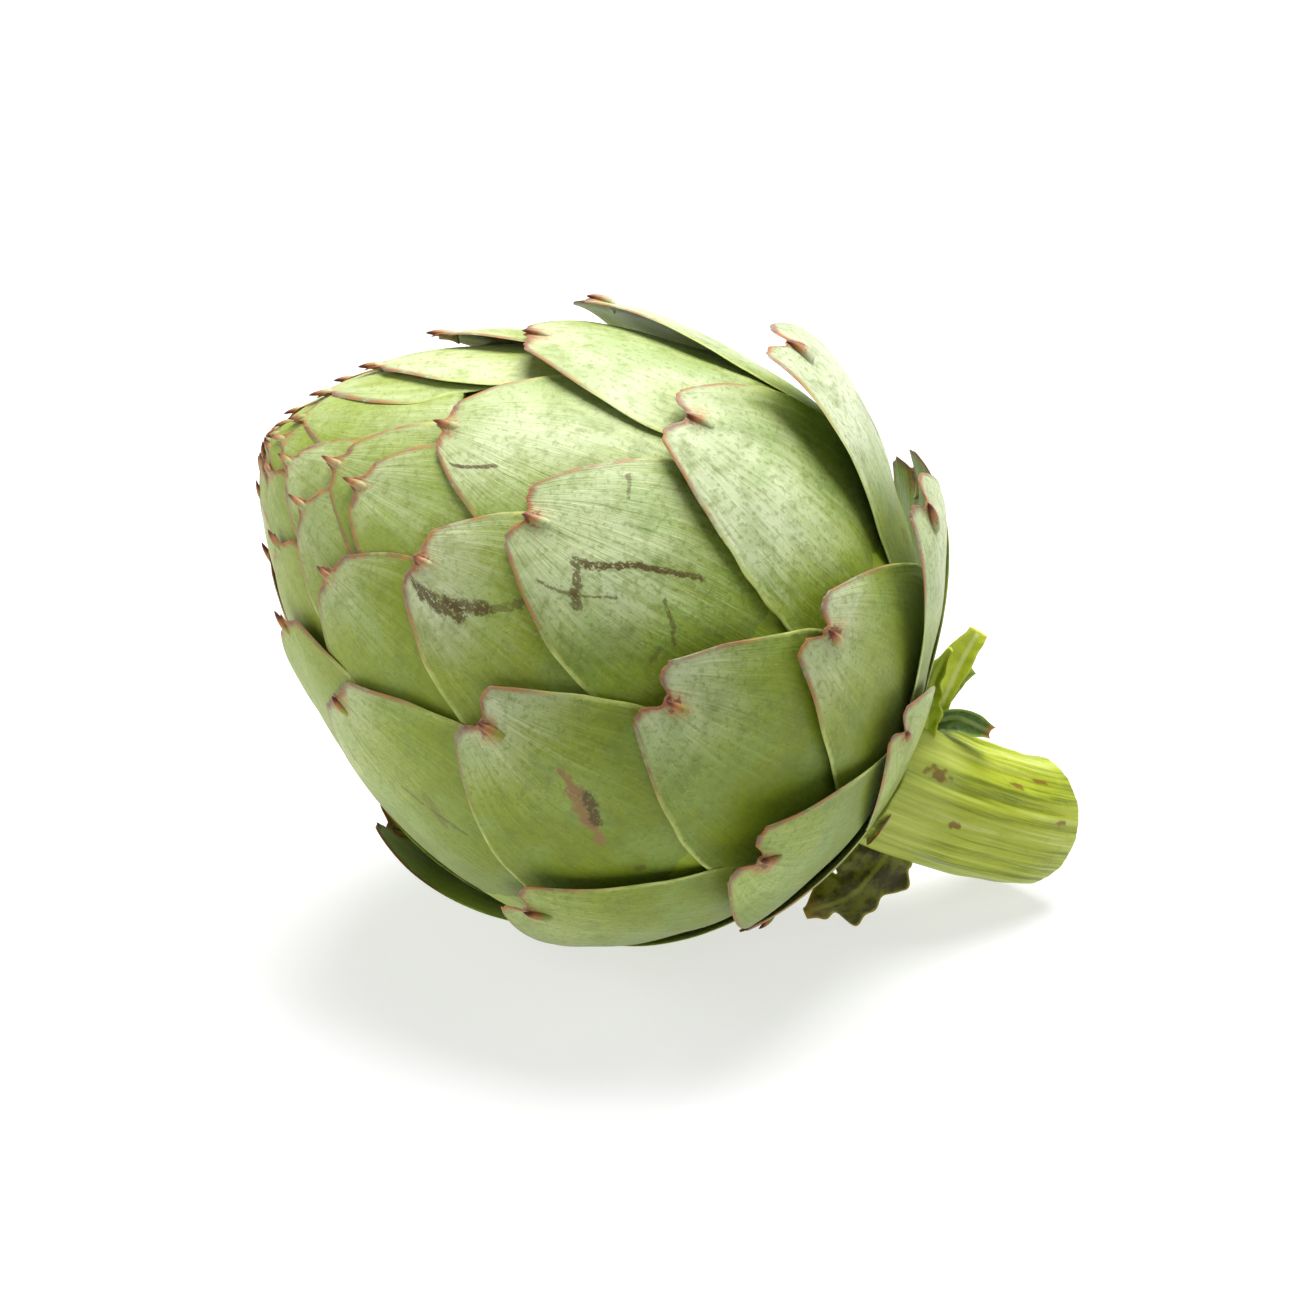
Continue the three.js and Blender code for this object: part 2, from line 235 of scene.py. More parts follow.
def two_faced(front: np.ndarray, back: np.ndarray) -> tuple[np.ndarray, np.ndarray]:
    """Join two grids of places, back to back, into one closed surface.

    Args:
        front: (rows, columns, 3) places whose column x row direction points outwards.
        back: Places of the other face, matching one for one.

    Returns:
        The vertices and the faces.
    """
    rows, columns = front.shape[:2]
    faces = grid_quads(rows, columns)
    other = faces[:, ::-1] + rows * columns
    places = np.concatenate([front.reshape(-1, 3), back.reshape(-1, 3)])
    return places, np.concatenate([faces, other, rim_quads(rows, columns)])


def fan_quads(ring: np.ndarray, centre: int) -> np.ndarray:
    """Number the faces of four corners that close a ring on its centre.

    Args:
        ring: Vertex numbers round the ring, an even number of them.
        centre: The centre's vertex number.

    Returns:
        (n, 4) array of vertex numbers.
    """
    first = np.arange(0, len(ring), 2)
    third = ring[(first + 2) % len(ring)]
    return np.stack([np.full(len(first), centre), ring[first], ring[first + 1], third], axis=-1)


def closed_tube(rings: np.ndarray) -> tuple[np.ndarray, np.ndarray]:
    """Close a stack of rings into one surface that faces outwards.

    A middle point is added to the first and the last ring. The faces are turned over if the volume,
    a sixth of the sum of the corner products a . (b x c) over the triangles, comes out negative.

    Args:
        rings: (rows, around, 3) places; around is even.

    Returns:
        The vertices, with the two middle points last, and the faces.
    """
    rows, around = rings.shape[:2]
    count = rows * around
    middles = np.stack([rings[0].mean(axis=0), rings[-1].mean(axis=0)])
    places = np.concatenate([rings.reshape(-1, 3), middles])
    first = np.arange(around)
    quads = np.concatenate([
        grid_quads(rows, around, closed=True),
        fan_quads(first[::-1], count),
        fan_quads(first + count - around, count + 1),
    ])
    a, b, c, d = (places[quads[:, k]] for k in range(4))
    volume = np.einsum("ij,ij->", a, np.cross(b, c)) + np.einsum("ij,ij->", a, np.cross(c, d))
    return places, quads if volume > 0 else quads[:, ::-1]


@dataclass
class HeadOutline:
    """The egg that the bracts follow: radius = R sin(pi t^skew)^blunt, with t from 0 at the tip to 1.

    Attributes:
        length: From the tip to where the axis meets the stalk.
        radius: At the widest.
        skew: Moves the widest place towards the stalk.
        blunt: Rounds the ends.
        tilt: Of the axis above the table, in radians.
        joint: Where the axis meets the stalk.
        steps: Rows in the table of the outline.
    """

    length: float = 115.0
    radius: float = 50.0
    skew: float = 1.293
    blunt: float = 0.487
    tilt: float = math.radians(30.0)
    joint: tuple[float, float, float] = (43.7, 0.0, 23.8)
    steps: int = 2400
    table: dict[str, np.ndarray] = field(init=False)

    def __post_init__(self) -> None:
        """Work out radius, height and normal at even steps of distance from the tip."""
        t = smoothstep(np.linspace(0.0, 1.0, self.steps), 0.0, 1.0)
        radius = self.radius * np.maximum(np.sin(np.pi * t**self.skew), 0.0) ** self.blunt
        height = self.length * (1.0 - t)
        along = np.concatenate([[0.0], np.cumsum(np.hypot(np.diff(radius), np.diff(height)))])
        even = np.linspace(0.0, along[-1], self.steps)
        radius, height = np.interp(even, along, radius), np.interp(even, along, height)
        out, up = -np.gradient(height), np.gradient(radius)
        size = np.hypot(out, up)
        self.table = {
            "along": even,
            "radius": radius,
            "height": height,
            "out": out / size,
            "up": up / size,
        }

    @property
    def end(self) -> float:
        """Return the distance over the surface from the tip to the stalk."""
        return float(self.table["along"][-1])

    def read(self, what: str, along: np.ndarray) -> np.ndarray:
        """Return radius, height, out or up at distances from the tip."""
        return np.interp(along, self.table["along"], self.table[what])

    def place(self, turn: np.ndarray, along: np.ndarray, off: np.ndarray) -> np.ndarray:
        """Return places off the outline: a turn round the axis, a distance from the tip, a lift.

        Args:
            turn: Angle round the axis, in radians.
            along: Distance from the tip over the surface.
            off: Distance out from the surface.

        Returns:
            (..., 3) array in the model's frame.
        """
        out = np.maximum(self.read("radius", along) + self.read("out", along) * off, 0.05)
        height = self.read("height", along) + self.read("up", along) * off
        x, y = out * np.cos(turn), out * np.sin(turn)
        lean = self.tilt - math.pi / 2.0
        across = x * math.cos(lean) + height * math.sin(lean)
        upward = height * math.cos(lean) - x * math.sin(lean)
        return held_inside(np.stack([across, y, upward], axis=-1) + np.array(self.joint))


@dataclass(frozen=True)
class Nudge:
    """How far one bract is off the rule: turn in degrees, slide and flare in mm, lean in mm per mm."""

    turn: float = 0.0
    slide: float = 0.0
    flare: float = 0.0
    lean: float = 0.0


@dataclass(frozen=True)
class Spiral:
    """The rule that places the bracts: one golden-angle spiral, counted from the outermost one.

    Attributes:
        count: Bracts in all.
        golden: Turn from one bract to the next, in radians.
        first: Turn of the outermost one.
        row_step: Distance between the tips of bracts that follow each other, on the outer ones.
        row_ease: How many bracts it takes for that distance to shrink towards the head's tip.
        last_row: The bract about which it does so.
        half_width: Half the width of the broadest bract.
        length: Length of the broadest bract.
        shoulder: How far below its end it reaches its full width.
        shingle: How fast a blade sinks under the next ones, in mm per mm.
        blade: Thickness of a blade.
        edge: Thickness at its rim.
        lobe: How far the two lobes of an end stand out.
        loose: The first few bracts stand off by chance, this many of them.
        chance_flare: By how much at most.
        tip_lift: How far the ends of the others are lifted.
        lean_reach: Distance over which a leaning bract turns straight again.
        hinge: Where a small bract starts to stand off, below its end.
        hinge_size: How much further down a broad bract does.
        open_reach: How much further down it does, per millimetre of flare.
        wave: Height of the waves on its face.
        rim_roll: Height of its raised rim.
        mound: Height of the swelling at its notch.
        groove: Depth of the hollow below that.
        nudges: Bracts that are off the rule.
    """

    count: int = 76
    golden: float = math.radians(137.508)
    first: float = math.radians(251.5)
    row_step: float = 5.98
    row_ease: float = 14.5
    last_row: float = 21.5
    half_width: float = 24.5
    length: float = 50.0
    shoulder: float = 32.0
    shingle: float = 0.08
    blade: float = 1.4
    edge: float = 0.35
    lobe: float = 0.6
    loose: int = 24
    chance_flare: float = 2.0
    tip_lift: float = 0.6
    lean_reach: float = 20.0
    hinge: float = 10.0
    hinge_size: float = 18.0
    open_reach: float = 1.2
    wave: float = 0.16
    rim_roll: float = 0.16
    mound: float = 0.55
    groove: float = 0.30
    nudges: dict[int, Nudge] = field(
        default_factory=lambda: {
            0: Nudge(0, 5, 0),
            1: Nudge(0, 7, 0),
            3: Nudge(5.1, -5.8, 1.5),
            5: Nudge(0, 6, 0),
            6: Nudge(-8, -11, 5.5, 0.5),
            8: Nudge(-0.6, 0.3, 3, -0.35),
            9: Nudge(-9.3, 6.5, 5.2),
            11: Nudge(-9.5, 4.5, 0.6, 0.4),
            13: Nudge(-2.4, -3.8, 1.2, -0.3),
            14: Nudge(-16, -5.5, 7.2, 0.65),
            16: Nudge(-1.8, 6.3, 0.3),
            18: Nudge(-24, -3, 3.6),
            19: Nudge(-4.4, 1.4, 1.5),
            21: Nudge(8.1, 1.3, 0.3, -0.33),
            22: Nudge(-7.9, -5, 4.2, 0.3),
            24: Nudge(-3.1, 0.8, 0.6),
            26: Nudge(10.6, -3.7, 1),
            27: Nudge(0.2, -0.7, 2.2),
            29: Nudge(8.8, 1.7, 0.5),
            32: Nudge(-5.4, 2.1, 1),
            34: Nudge(17.1, 0.4, 1),
            35: Nudge(8, 3.5, 2.2),
            37: Nudge(-1.7, 1.7, 1),
            39: Nudge(13.6, 7.8, 1.6, -0.5),
            40: Nudge(26, 0, 1),
            42: Nudge(7, 0.9, 0.8),
            44: Nudge(0, 5, 0),
            45: Nudge(-17.8, 5.7, 0.8),
            47: Nudge(5.1, 5.7, 0.4),
        }
    )


@dataclass(frozen=True)
class Bract:
    """One bract of the head.

    Attributes:
        index: Its number, from the outermost one.
        turn: Its angle round the axis, in radians.
        tip: Distance from the head's tip to its end.
        half_width: Half its width.
        length: Its length.
        notch: How deep its notch is; negative where the end is pointed.
        flare: How far its end stands off.
        lean: How much it leans round the head, in mm per mm.
        rule: The rule that it follows.
    """

    index: int
    turn: float
    tip: float
    half_width: float
    length: float
    notch: float
    flare: float
    lean: float
    rule: Spiral

    @classmethod
    def grown(cls, index: int, rule: Spiral, outline: HeadOutline) -> "Bract":
        """Grow the bract that the spiral's rule gives for a number.

        The distance of its end from the head's tip is step * ease * log(1 + exp((last - n) / ease)),
        which falls evenly at first and then ever more slowly.

        Args:
            index: The bract's number, from the outermost one.
            rule: The spiral.
            outline: The head's outline.

        Returns:
            The bract.
        """
        nudge = rule.nudges.get(index, Nudge())
        rows_left = (rule.last_row - index) / rule.row_ease
        tip = rule.row_step * rule.row_ease * math.log(1 + math.exp(rows_left)) + nudge.slide
        lowest = 1.0 - 0.62 * float(smoothstep(tip, 104.0, 138.0))
        half = rule.half_width * (1.0 - math.exp(-(tip + 3.0) / 22.0)) * lowest
        lift = rule.tip_lift * (0.3 + chance(index))
        loose = rule.chance_flare * chance(index) ** 2 if index < rule.loose else lift
        return cls(
            index=index,
            turn=rule.first + rule.golden * index + math.radians(nudge.turn),
            tip=tip,
            half_width=half,
            length=min(rule.length * half / rule.half_width + 4.0, outline.end - 9.0 - tip),
            notch=-2.0 + 5.6 * float(smoothstep(tip, 16.0, 70.0)),
            flare=nudge.flare if index in rule.nudges else loose,
            lean=nudge.lean,
            rule=rule,
        )

    def width_at(self, distance: np.ndarray) -> np.ndarray:
        """Work out half the width: from a narrow end it widens as 1-(1-q)^1.8 up to the shoulder.

        Args:
            distance: Distance from the bract's tip.

        Returns:
            Half the width at each distance.
        """
        end = 0.24 * self.half_width
        shoulder = self.rule.shoulder * self.half_width / self.rule.half_width
        share = np.clip(distance / shoulder, 0.0, 1.0)
        widening = 1.0 - (1.0 - share) ** 1.8
        below = np.maximum(distance - shoulder, 0.0) / self.rule.length
        return (end + (self.half_width - end) * widening) * (1.0 - 0.5 * below * below)

    def lean_at(self, distance: np.ndarray) -> np.ndarray:
        """Return how far the middle has leant round the head: lean times r (1 - exp(-d/r))."""
        reach = self.rule.lean_reach
        return self.lean * reach * (1.0 - np.exp(-distance / reach))

    def end_at(self, across: np.ndarray) -> np.ndarray:
        """Return how far the end is drawn back: a notch less two rounded lobes and a small tooth."""
        size = self.half_width / self.rule.half_width
        lobes = self.rule.lobe * size * (1.0 - (2.0 * np.abs(across) - 1.0) ** 2)
        tooth = (0.9 + 0.9 * size) * np.exp(-((across * 0.24 * self.half_width / 0.8) ** 2))
        return self.notch * np.exp(-((across / 0.3) ** 2)) - lobes - tooth


@dataclass
class Head:
    """The head: a hidden bud and its bracts, gathered into pieces that each hold a few bracts.

    Attributes:
        outline: The egg that the bracts follow.
        rule: Where the bracts are.
        core_depth: How far inside the outline the bud lies.
        fine: Rows and columns of a broad bract's grid.
        small: Rows and columns of a small bract's grid.
        first_small: The first bract with the small grid.
        bracts: Every bract, outermost first.
    """

    outline: HeadOutline
    rule: Spiral
    core_depth: float = 3.4
    fine: tuple[int, int] = (54, 53)
    small: tuple[int, int] = (26, 27)
    first_small: int = 38
    bracts: list[Bract] = field(init=False)

    def __post_init__(self) -> None:
        """Grow every bract by the rule."""
        self.bracts = [Bract.grown(index, self.rule, self.outline) for index in range(self.rule.count)]

    def left_bare(self, bract: Bract, turn: np.ndarray, along: np.ndarray) -> np.ndarray:
        """Return how far each place of a bract is from being covered by an outer bract.

        For every outer bract the distance outside its rim is the larger of the sideways one and the one
        past its end; the least of them all counts. It is negative under a bract.

        Args:
            bract: The bract that the places are on.
            turn: Angles round the axis.
            along: Distances from the head's tip.

        Returns:
            The distance at each place, at most 60.
        """
        least = np.full(turn.shape, 60.0)
        radius = np.maximum(self.outline.read("radius", along), 1.0)
        for other in self.bracts[: bract.index]:
            turned = (turn - other.turn + math.pi) % (2.0 * math.pi) - math.pi
            behind = along - other.tip
            side = np.abs(turned * radius - other.lean_at(np.maximum(behind, 0.0)))
            past = side - other.width_at(np.maximum(behind, 0.0))
            ahead = np.hypot(np.maximum(-behind, 0.0), np.maximum(side - 0.24 * other.half_width, 0.0))
            gap = np.where(behind < 0.0, ahead, np.maximum(past * 0.8, -behind))
            gap = np.where(behind > other.length, 60.0, gap)
            least = np.minimum(least, gap)
        return least

    def add_bract(self, parts: MeshParts, bract: Bract) -> None:
        """Add one bract, a closed blade thinned towards its rim, and the short spine in its notch.

        The grid's rows run from the bract's end to its foot, at shares s^1.7 of its length, and its
        columns across it, as sin(u). The top lies on the head's outline, less the shingle's slope and
        plus the flare of its free end, and carries gentle waves, a raised rim, and a mound and a
        groove by the notch. The lower face lies one thickness below. The value "bare" is scaled up on
        small bracts, so that their short visible ends show the whole change of colour.

        Args:
            parts: Gathers the surface.
            bract: The bract to build.
        """
        rows, columns = self.small if bract.index >= self.first_small else self.fine
        rule = self.rule
        size = bract.half_width / rule.half_width
        seed = 10.0 * bract.index + 1.0
        across = np.sin(np.linspace(-0.5, 0.5, columns) * math.pi)[None, :]
        share = np.linspace(0.0, 1.0, rows)[:, None] ** 1.7
        distance = share * bract.length
        flat = 0.0 * across + 0.0 * distance
        wavy = 1.0 + 0.014 * ripples(distance + flat, 7.0 * np.sign(across) + flat, 9.0, seed)
        nibbled = ripples(across * bract.half_width, 0.0 * across, 5.0, seed + 4)
        end = bract.end_at(across) + 0.22 * size * nibbled
        along = bract.tip + distance + end * (1.0 - share) ** 8
        radius = self.outline.read("radius", np.maximum(along, 3.0))
        width = bract.width_at(distance)
        side = np.minimum(width / radius, 1.25) * across * wavy
        lean = bract.lean_at(distance)
        turn = bract.turn + side + lean / radius
        hinge = rule.hinge + rule.hinge_size * size + rule.open_reach * bract.flare
        flare = bract.flare * (1.0 - smoothstep(distance, 0.0, hinge))
        x = across * width
        slope = np.gradient(width[:, 0], distance[:, 0])[:, None]
        to_side = width * (1.0 - np.abs(across)) / np.sqrt(1.0 + np.minimum(slope, 12.0) ** 2)
        rim = np.minimum(to_side, distance + 0.02)
        top = flare - rule.shingle * distance - 0.3 * across**4
        top = top + rule.wave * size * ripples(x, distance, 17.0, seed + 1) * smoothstep(rim, 0.0, 3.0)
        top = top + rule.rim_roll * np.exp(-((rim / 0.9) ** 2)) * size
        from_notch = distance + end * (1.0 - share) ** 8 - bract.notch
        mound = np.exp(-((x / 1.3) ** 2)) * np.exp(-((from_notch - 0.6) / (2.4 * size + 0.4)) ** 2)
        groove = np.exp(-((x / 4.5) ** 2)) * np.exp(-distance / 9.0)
        top = top + rule.mound * size * mound - rule.groove * size * groove
        thick = rule.edge + (rule.blade - rule.edge) * smoothstep(rim, 0.0, 9.0 * size)
        thick = thick * (0.55 + 0.45 * size)
        round_edge = np.sqrt(np.clip(rim / 0.5, 0.04, 1.0))
        upper = self.outline.place(turn, along, top - 0.16 * (1.0 - round_edge))
        lower = self.outline.place(turn, along, top - thick * (0.35 + 0.65 * round_edge))
        places, quads = two_faced(lower, upper)
        bare = self.left_bare(bract, turn, along)
        tipward = np.hypot(x, from_notch)
        blade = np.stack(np.broadcast_arrays(across * bract.half_width, distance), axis=-1)
        blade = blade.reshape(-1, 2)
        parts.add(
            places,
            quads,
            np.concatenate([blade, blade]),
            bare=np.tile((bare / max(size, 0.3) ** 0.7).ravel(), 2),
            rim=np.tile(rim.ravel(), 2),
            tipward=np.tile(tipward.ravel(), 2),
            inside=np.repeat([1.0, 0.0], blade.shape[0]),
            seed=np.full(2 * blade.shape[0], chance(seed)),
            spine=np.zeros(2 * blade.shape[0]),
        )
        self.add_spine(parts, bract, seed)

    def add_spine(self, parts: MeshParts, bract: Bract, seed: float) -> None:
        """Add the spine: a cone out of the blade, its radius falling as (1-s)^0.7 to its point.

        It starts below the surface, comes out by the notch and points off the head's tip, the more so
        on the small inner bracts.

        Args:
            parts: Gathers the surface.
            bract: The bract that carries it.
            seed: The bract's own random seed.
        """
        size = 0.4 + 0.6 * bract.half_width / self.rule.half_width
        inner = 1.0 - float(smoothstep(bract.tip, 22.0, 45.0))
        lift = 0.35 + 0.35 * chance(seed + 3) + 0.6 * inner
        long = 4.2 + 0.8 * chance(seed + 9) + 0.8 * inner
        rings, around = 14, 14
        s = np.linspace(0.0, 1.0, rings)[:, None]
        angle = np.linspace(0.0, 2.0 * math.pi, around, endpoint=False)[None, :]
        radius = size * 1.15 * (1.0 - s) ** 0.7 + 0.03
        along = bract.tip + bract.notch + size * (2.8 - long * s)
        off = bract.flare + size * (lift * s**1.5 - 1.5 * (1.0 - s) ** 2.5) + radius * np.sin(angle)
        local = np.maximum(self.outline.read("radius", np.maximum(along, 2.0)), 1.5)
        bend = 0.5 * (chance(seed + 6) - 0.5) * size * s**2
        turn = bract.turn + (radius * np.cos(angle) + bend) / local
        places, quads = closed_tube(self.outline.place(turn, np.maximum(along, 0.1) + 0.0 * angle, off))
        count = len(places)
        grade = np.concatenate([np.repeat(s.ravel(), around), [0.0, 1.0]])
        parts.add(
            places,
            quads,
            np.zeros((count, 2)),
            bare=np.full(count, 12.0),
            rim=np.full(count, 5.0),
            tipward=2.5 * (1.0 - grade),
            inside=np.zeros(count),
            seed=np.full(count, chance(seed)),
            spine=grade,
        )

    def piece(self, name: str, indices: Sequence[int]) -> bpy.types.Object:
        """Make one piece of the head from some of its bracts.

        Args:
            name: The piece's name.
            indices: The numbers of its bracts.

        Returns:
            The new object.
        """
        parts = MeshParts()
        for index in indices:
            self.add_bract(parts, self.bracts[index])
        return parts.fill(name)

    def bud(self) -> bpy.types.Object:
        """Make the hidden bud: the outline drawn in by the core's depth and turned round the axis.

        Returns:
            The new object.
        """
        rows, around = 60, 72
        along = np.linspace(1.0, self.outline.end - 1.0, rows)[:, None]
        turn = np.linspace(0.0, 2.0 * math.pi, around, endpoint=False)[None, :]
        off = np.full((rows, around), -self.core_depth)
        places, quads = closed_tube(self.outline.place(turn + 0.0 * off, along + 0.0 * off, off))
        count = len(places)
        blade = np.stack([np.arange(count) % around, np.arange(count) // around], axis=-1) * 2.0
        parts = MeshParts()
        parts.add(
            places,
            quads,
            blade,
            bare=np.zeros(count),
            rim=np.full(count, 9.0),
            tipward=np.full(count, 30.0),
            inside=np.ones(count),
            seed=np.full(count, 0.5),
            spine=np.zeros(count),
        )
        return parts.fill("inner_bud")


@dataclass
class Stalk:
    """The cut stalk: a ribbed bar along a quadratic curve, with a slightly domed cut face.

    Attributes:
        outline: The head's outline, on whose axis the stalk starts.
        socket: How far inside the head it starts.
        bend: The curve's middle control place.
        end: Where the cut face is.
        radius: At the head.
        taper: How much thinner it is at the cut.
        waist: How much thinner it is half way.
        ribs: Ribs round it.
        rib_height: Their height.
        fade: The share of a rib's height that it has lost at the cut.
        dome: How far the cut face stands out in the middle.
        rows: Rings along it.
        around: Places in a ring.
        cap_rings: Rings on the cut face.
        spots: Angle, distance along, half width and half length of each brown spot.
    """

    outline: HeadOutline
    socket: float = 5.0
    bend: tuple[float, float, float] = (55.0, 3.0, 17.2)
    end: tuple[float, float, float] = (64.4, 14.2, 10.2)
    radius: float = 11.7
    taper: float = 1.2
    waist: float = 0.2
    ribs: int = 13
    rib_height: float = 0.35
    fade: float = 0.75
    dome: float = 0.55
    rows: int = 110
    around: int = 168
    cap_rings: int = 22
    spots: tuple[tuple[float, float, float, float], ...] = (
        (5.48, 5.0, 1.3, 2.6),
        (5.20, 19.2, 0.8, 1.8),
        (6.07, 10.4, 0.7, 1.6),
        (5.59, 28.6, 0.7, 1.2),
        (5.00, 24.5, 0.6, 2.4),
        (1.60, 17.0, 1.0, 3.0),
        (3.10, 12.0, 0.9, 2.5),
    )

    def centre_line(self, share: np.ndarray) -> tuple[np.ndarray, np.ndarray, float]:
        """Follow the middle of the stalk.

        The curve is (1-t)^2 P0 + 2t(1-t) P1 + t^2 P2, its t read back from the summed distance.

        Args:
            share: Shares of the length from 0, in the head, to 1, at the cut.

        Returns:
            Places and unit directions at those shares, and the length.
        """
        axis = np.array([-math.cos(self.outline.tilt), 0.0, math.sin(self.outline.tilt)])
        p0 = np.array(self.outline.joint) + axis * self.socket
        p1, p2 = np.array(self.bend), np.array(self.end)
        t = np.linspace(0.0, 1.0, 600)[:, None]
        points = (1 - t) ** 2 * p0 + 2 * t * (1 - t) * p1 + t**2 * p2
        run = np.concatenate([[0.0], np.cumsum(np.linalg.norm(np.diff(points, axis=0), axis=1))])
        at = np.interp(share * run[-1], run, t[:, 0])[:, None]
        places = (1 - at) ** 2 * p0 + 2 * at * (1 - at) * p1 + at**2 * p2
        heading = 2 * (1 - at) * (p1 - p0) + 2 * at * (p2 - p1)
        return places, heading / np.linalg.norm(heading, axis=1, keepdims=True), float(run[-1])

    def cross_axes(self, heading: np.ndarray) -> tuple[np.ndarray, np.ndarray]:
        """Carry two unit axes across the stalk along its curve, without twist.

        The curve lies in a plane, so the axes turn about that plane's normal as the direction does.

        Args:
            heading: Unit directions along the curve.

        Returns:
            The first and the second axis at each direction.
        """
        first = heading[0]
        side = np.cross(first, np.array([0.0, 1.0, 0.0]))
        start = np.cross(first, side / np.linalg.norm(side))
        pole = np.cross(first, heading[-1])
        pole = pole / np.linalg.norm(pole)
        bent = np.arctan2(np.cross(first, heading) @ pole, heading @ first)[:, None]
        turned = (
            start * np.cos(bent)
            + np.cross(pole, start) * np.sin(bent)
            + pole * (pole @ start) * (1.0 - np.cos(bent))
        )
        return turned, np.cross(heading, turned)

    def piece(self) -> bpy.types.Object:
        """Make the stalk: its radius plus cosine ribs and stripes round it, and a domed cut face.

        Returns:
            The object, with its stripes, spots, cut face and distance along as values.
        """
        share = np.linspace(0.0, 1.0, self.rows)
        centre, heading, long = self.centre_line(share)
        first, second = self.cross_axes(heading)
        angle = np.linspace(0.0, 2.0 * math.pi, self.around, endpoint=False)[None, :]
        along = share[:, None] * long
        wander = 0.06 * np.sin(along / 9.0 + 2.0 * np.sin(angle))
        rib = np.cos(self.ribs * (angle + wander))
        stripe = sum(
            math.sqrt(5.0 / pitch)
            * np.cos(pitch * (angle + 0.7 * wander) + 6.3 * chance(pitch) + 0.09 * along)
            for pitch in (5, 13, 19, 26, 34, 43, 57)
        )
        dents = ripples(angle * 0.0 + along, 14.0 * np.cos(angle), 11.0, 5.0) + ripples(
            angle * 0.0 + along, 14.0 * np.sin(angle), 11.0, 8.0
        )
        radius = self.radius - self.taper * share[:, None]
        radius = radius - self.waist * np.sin(np.pi * share)[:, None]
        faded = 1.0 - self.fade * smoothstep(along, 0.55 * long, long)
        radius = radius + self.rib_height * 0.8 * rib * faded
        radius = radius + 0.10 * stripe * 0.5 + 0.09 * dents
        bevel = 1.0 - 0.09 * smoothstep(along, long - 1.5, long) ** 2
        radius = radius * bevel
        reach = radius[:, :, None]
        side = centre[:, None, :] + first[:, None, :] * np.cos(angle)[..., None] * reach
        side = side + second[:, None, :] * np.sin(angle)[..., None] * reach
        fraction = np.linspace(1.0, 0.04, self.cap_rings)[1:, None]
        dome = self.dome * (1.0 - fraction**2) + 0.10 * ripples(
            9.0 * fraction * np.cos(angle), 9.0 * fraction * np.sin(angle), 1.8, 3.0
        ) * smoothstep(1.0 - fraction, 0.02, 0.2)
        spoke = first[-1] * np.cos(angle)[..., None] + second[-1] * np.sin(angle)[..., None]
        flat = centre[-1] + spoke * (radius[-1][None, :, None] * fraction[..., None])
        cap = flat + heading[-1] * dome[..., None]
        rings = np.concatenate([side, cap])
        rings[..., 2] = np.maximum(rings[..., 2], 0.0)
        places, quads = closed_tube(rings)
        spot = np.zeros((self.rows, self.around))
        for turn, place, half_across, half_along in self.spots:
            turned = (angle - turn + math.pi) % (2.0 * math.pi) - math.pi
            blot = ((turned * self.radius) / half_across) ** 2 + ((along - place) / half_along) ** 2
            ragged = 0.35 * ripples(turned * self.radius, along, 1.6, turn * 7.0)
            spot = np.maximum(spot, smoothstep(1.35 - np.sqrt(blot) + ragged, 0.0, 0.9))
        cap_zero = np.zeros((self.cap_rings - 1, self.around))
        cut = np.concatenate([np.zeros((self.rows, self.around)), cap_zero + 1.0])
        depth = np.concatenate([np.ones((self.rows, self.around)), cap_zero + fraction])
        stripes = [np.broadcast_to(stripe, spot.shape), cap_zero + stripe[-1][None, :]]
        stripes = np.concatenate(stripes)
        spots = np.concatenate([spot, cap_zero])
        run = np.concatenate([np.broadcast_to(along, spot.shape), cap_zero + long])
        around = np.broadcast_to(angle * self.radius, run.shape)
        blade = np.stack([around, run], axis=-1).reshape(-1, 2)
        parts = MeshParts()
        parts.add(
            places,
            quads,
            np.concatenate([blade, blade[:1], blade[-1:]]),
            stripe=np.append(stripes.ravel(), [0.0, 0.0]),
            spot=np.append(spots.ravel(), [0.0, 0.0]),
            cut=np.append(cut.ravel(), [0.0, 1.0]),
            depth=np.append(depth.ravel(), [1.0, 0.0]),
            run=np.append(run.ravel(), [0.0, long]),
        )
        return parts.fill("ribbed_stalk")


class LeafKind(Enum):
    """The five small leaves by the stalk."""

    UPPER = "upper_leaf"
    CUT = "cut_leaf"
    LOBE = "side_lobe"
    CURLED = "curled_leaf"
    LOWER = "lower_leaf"


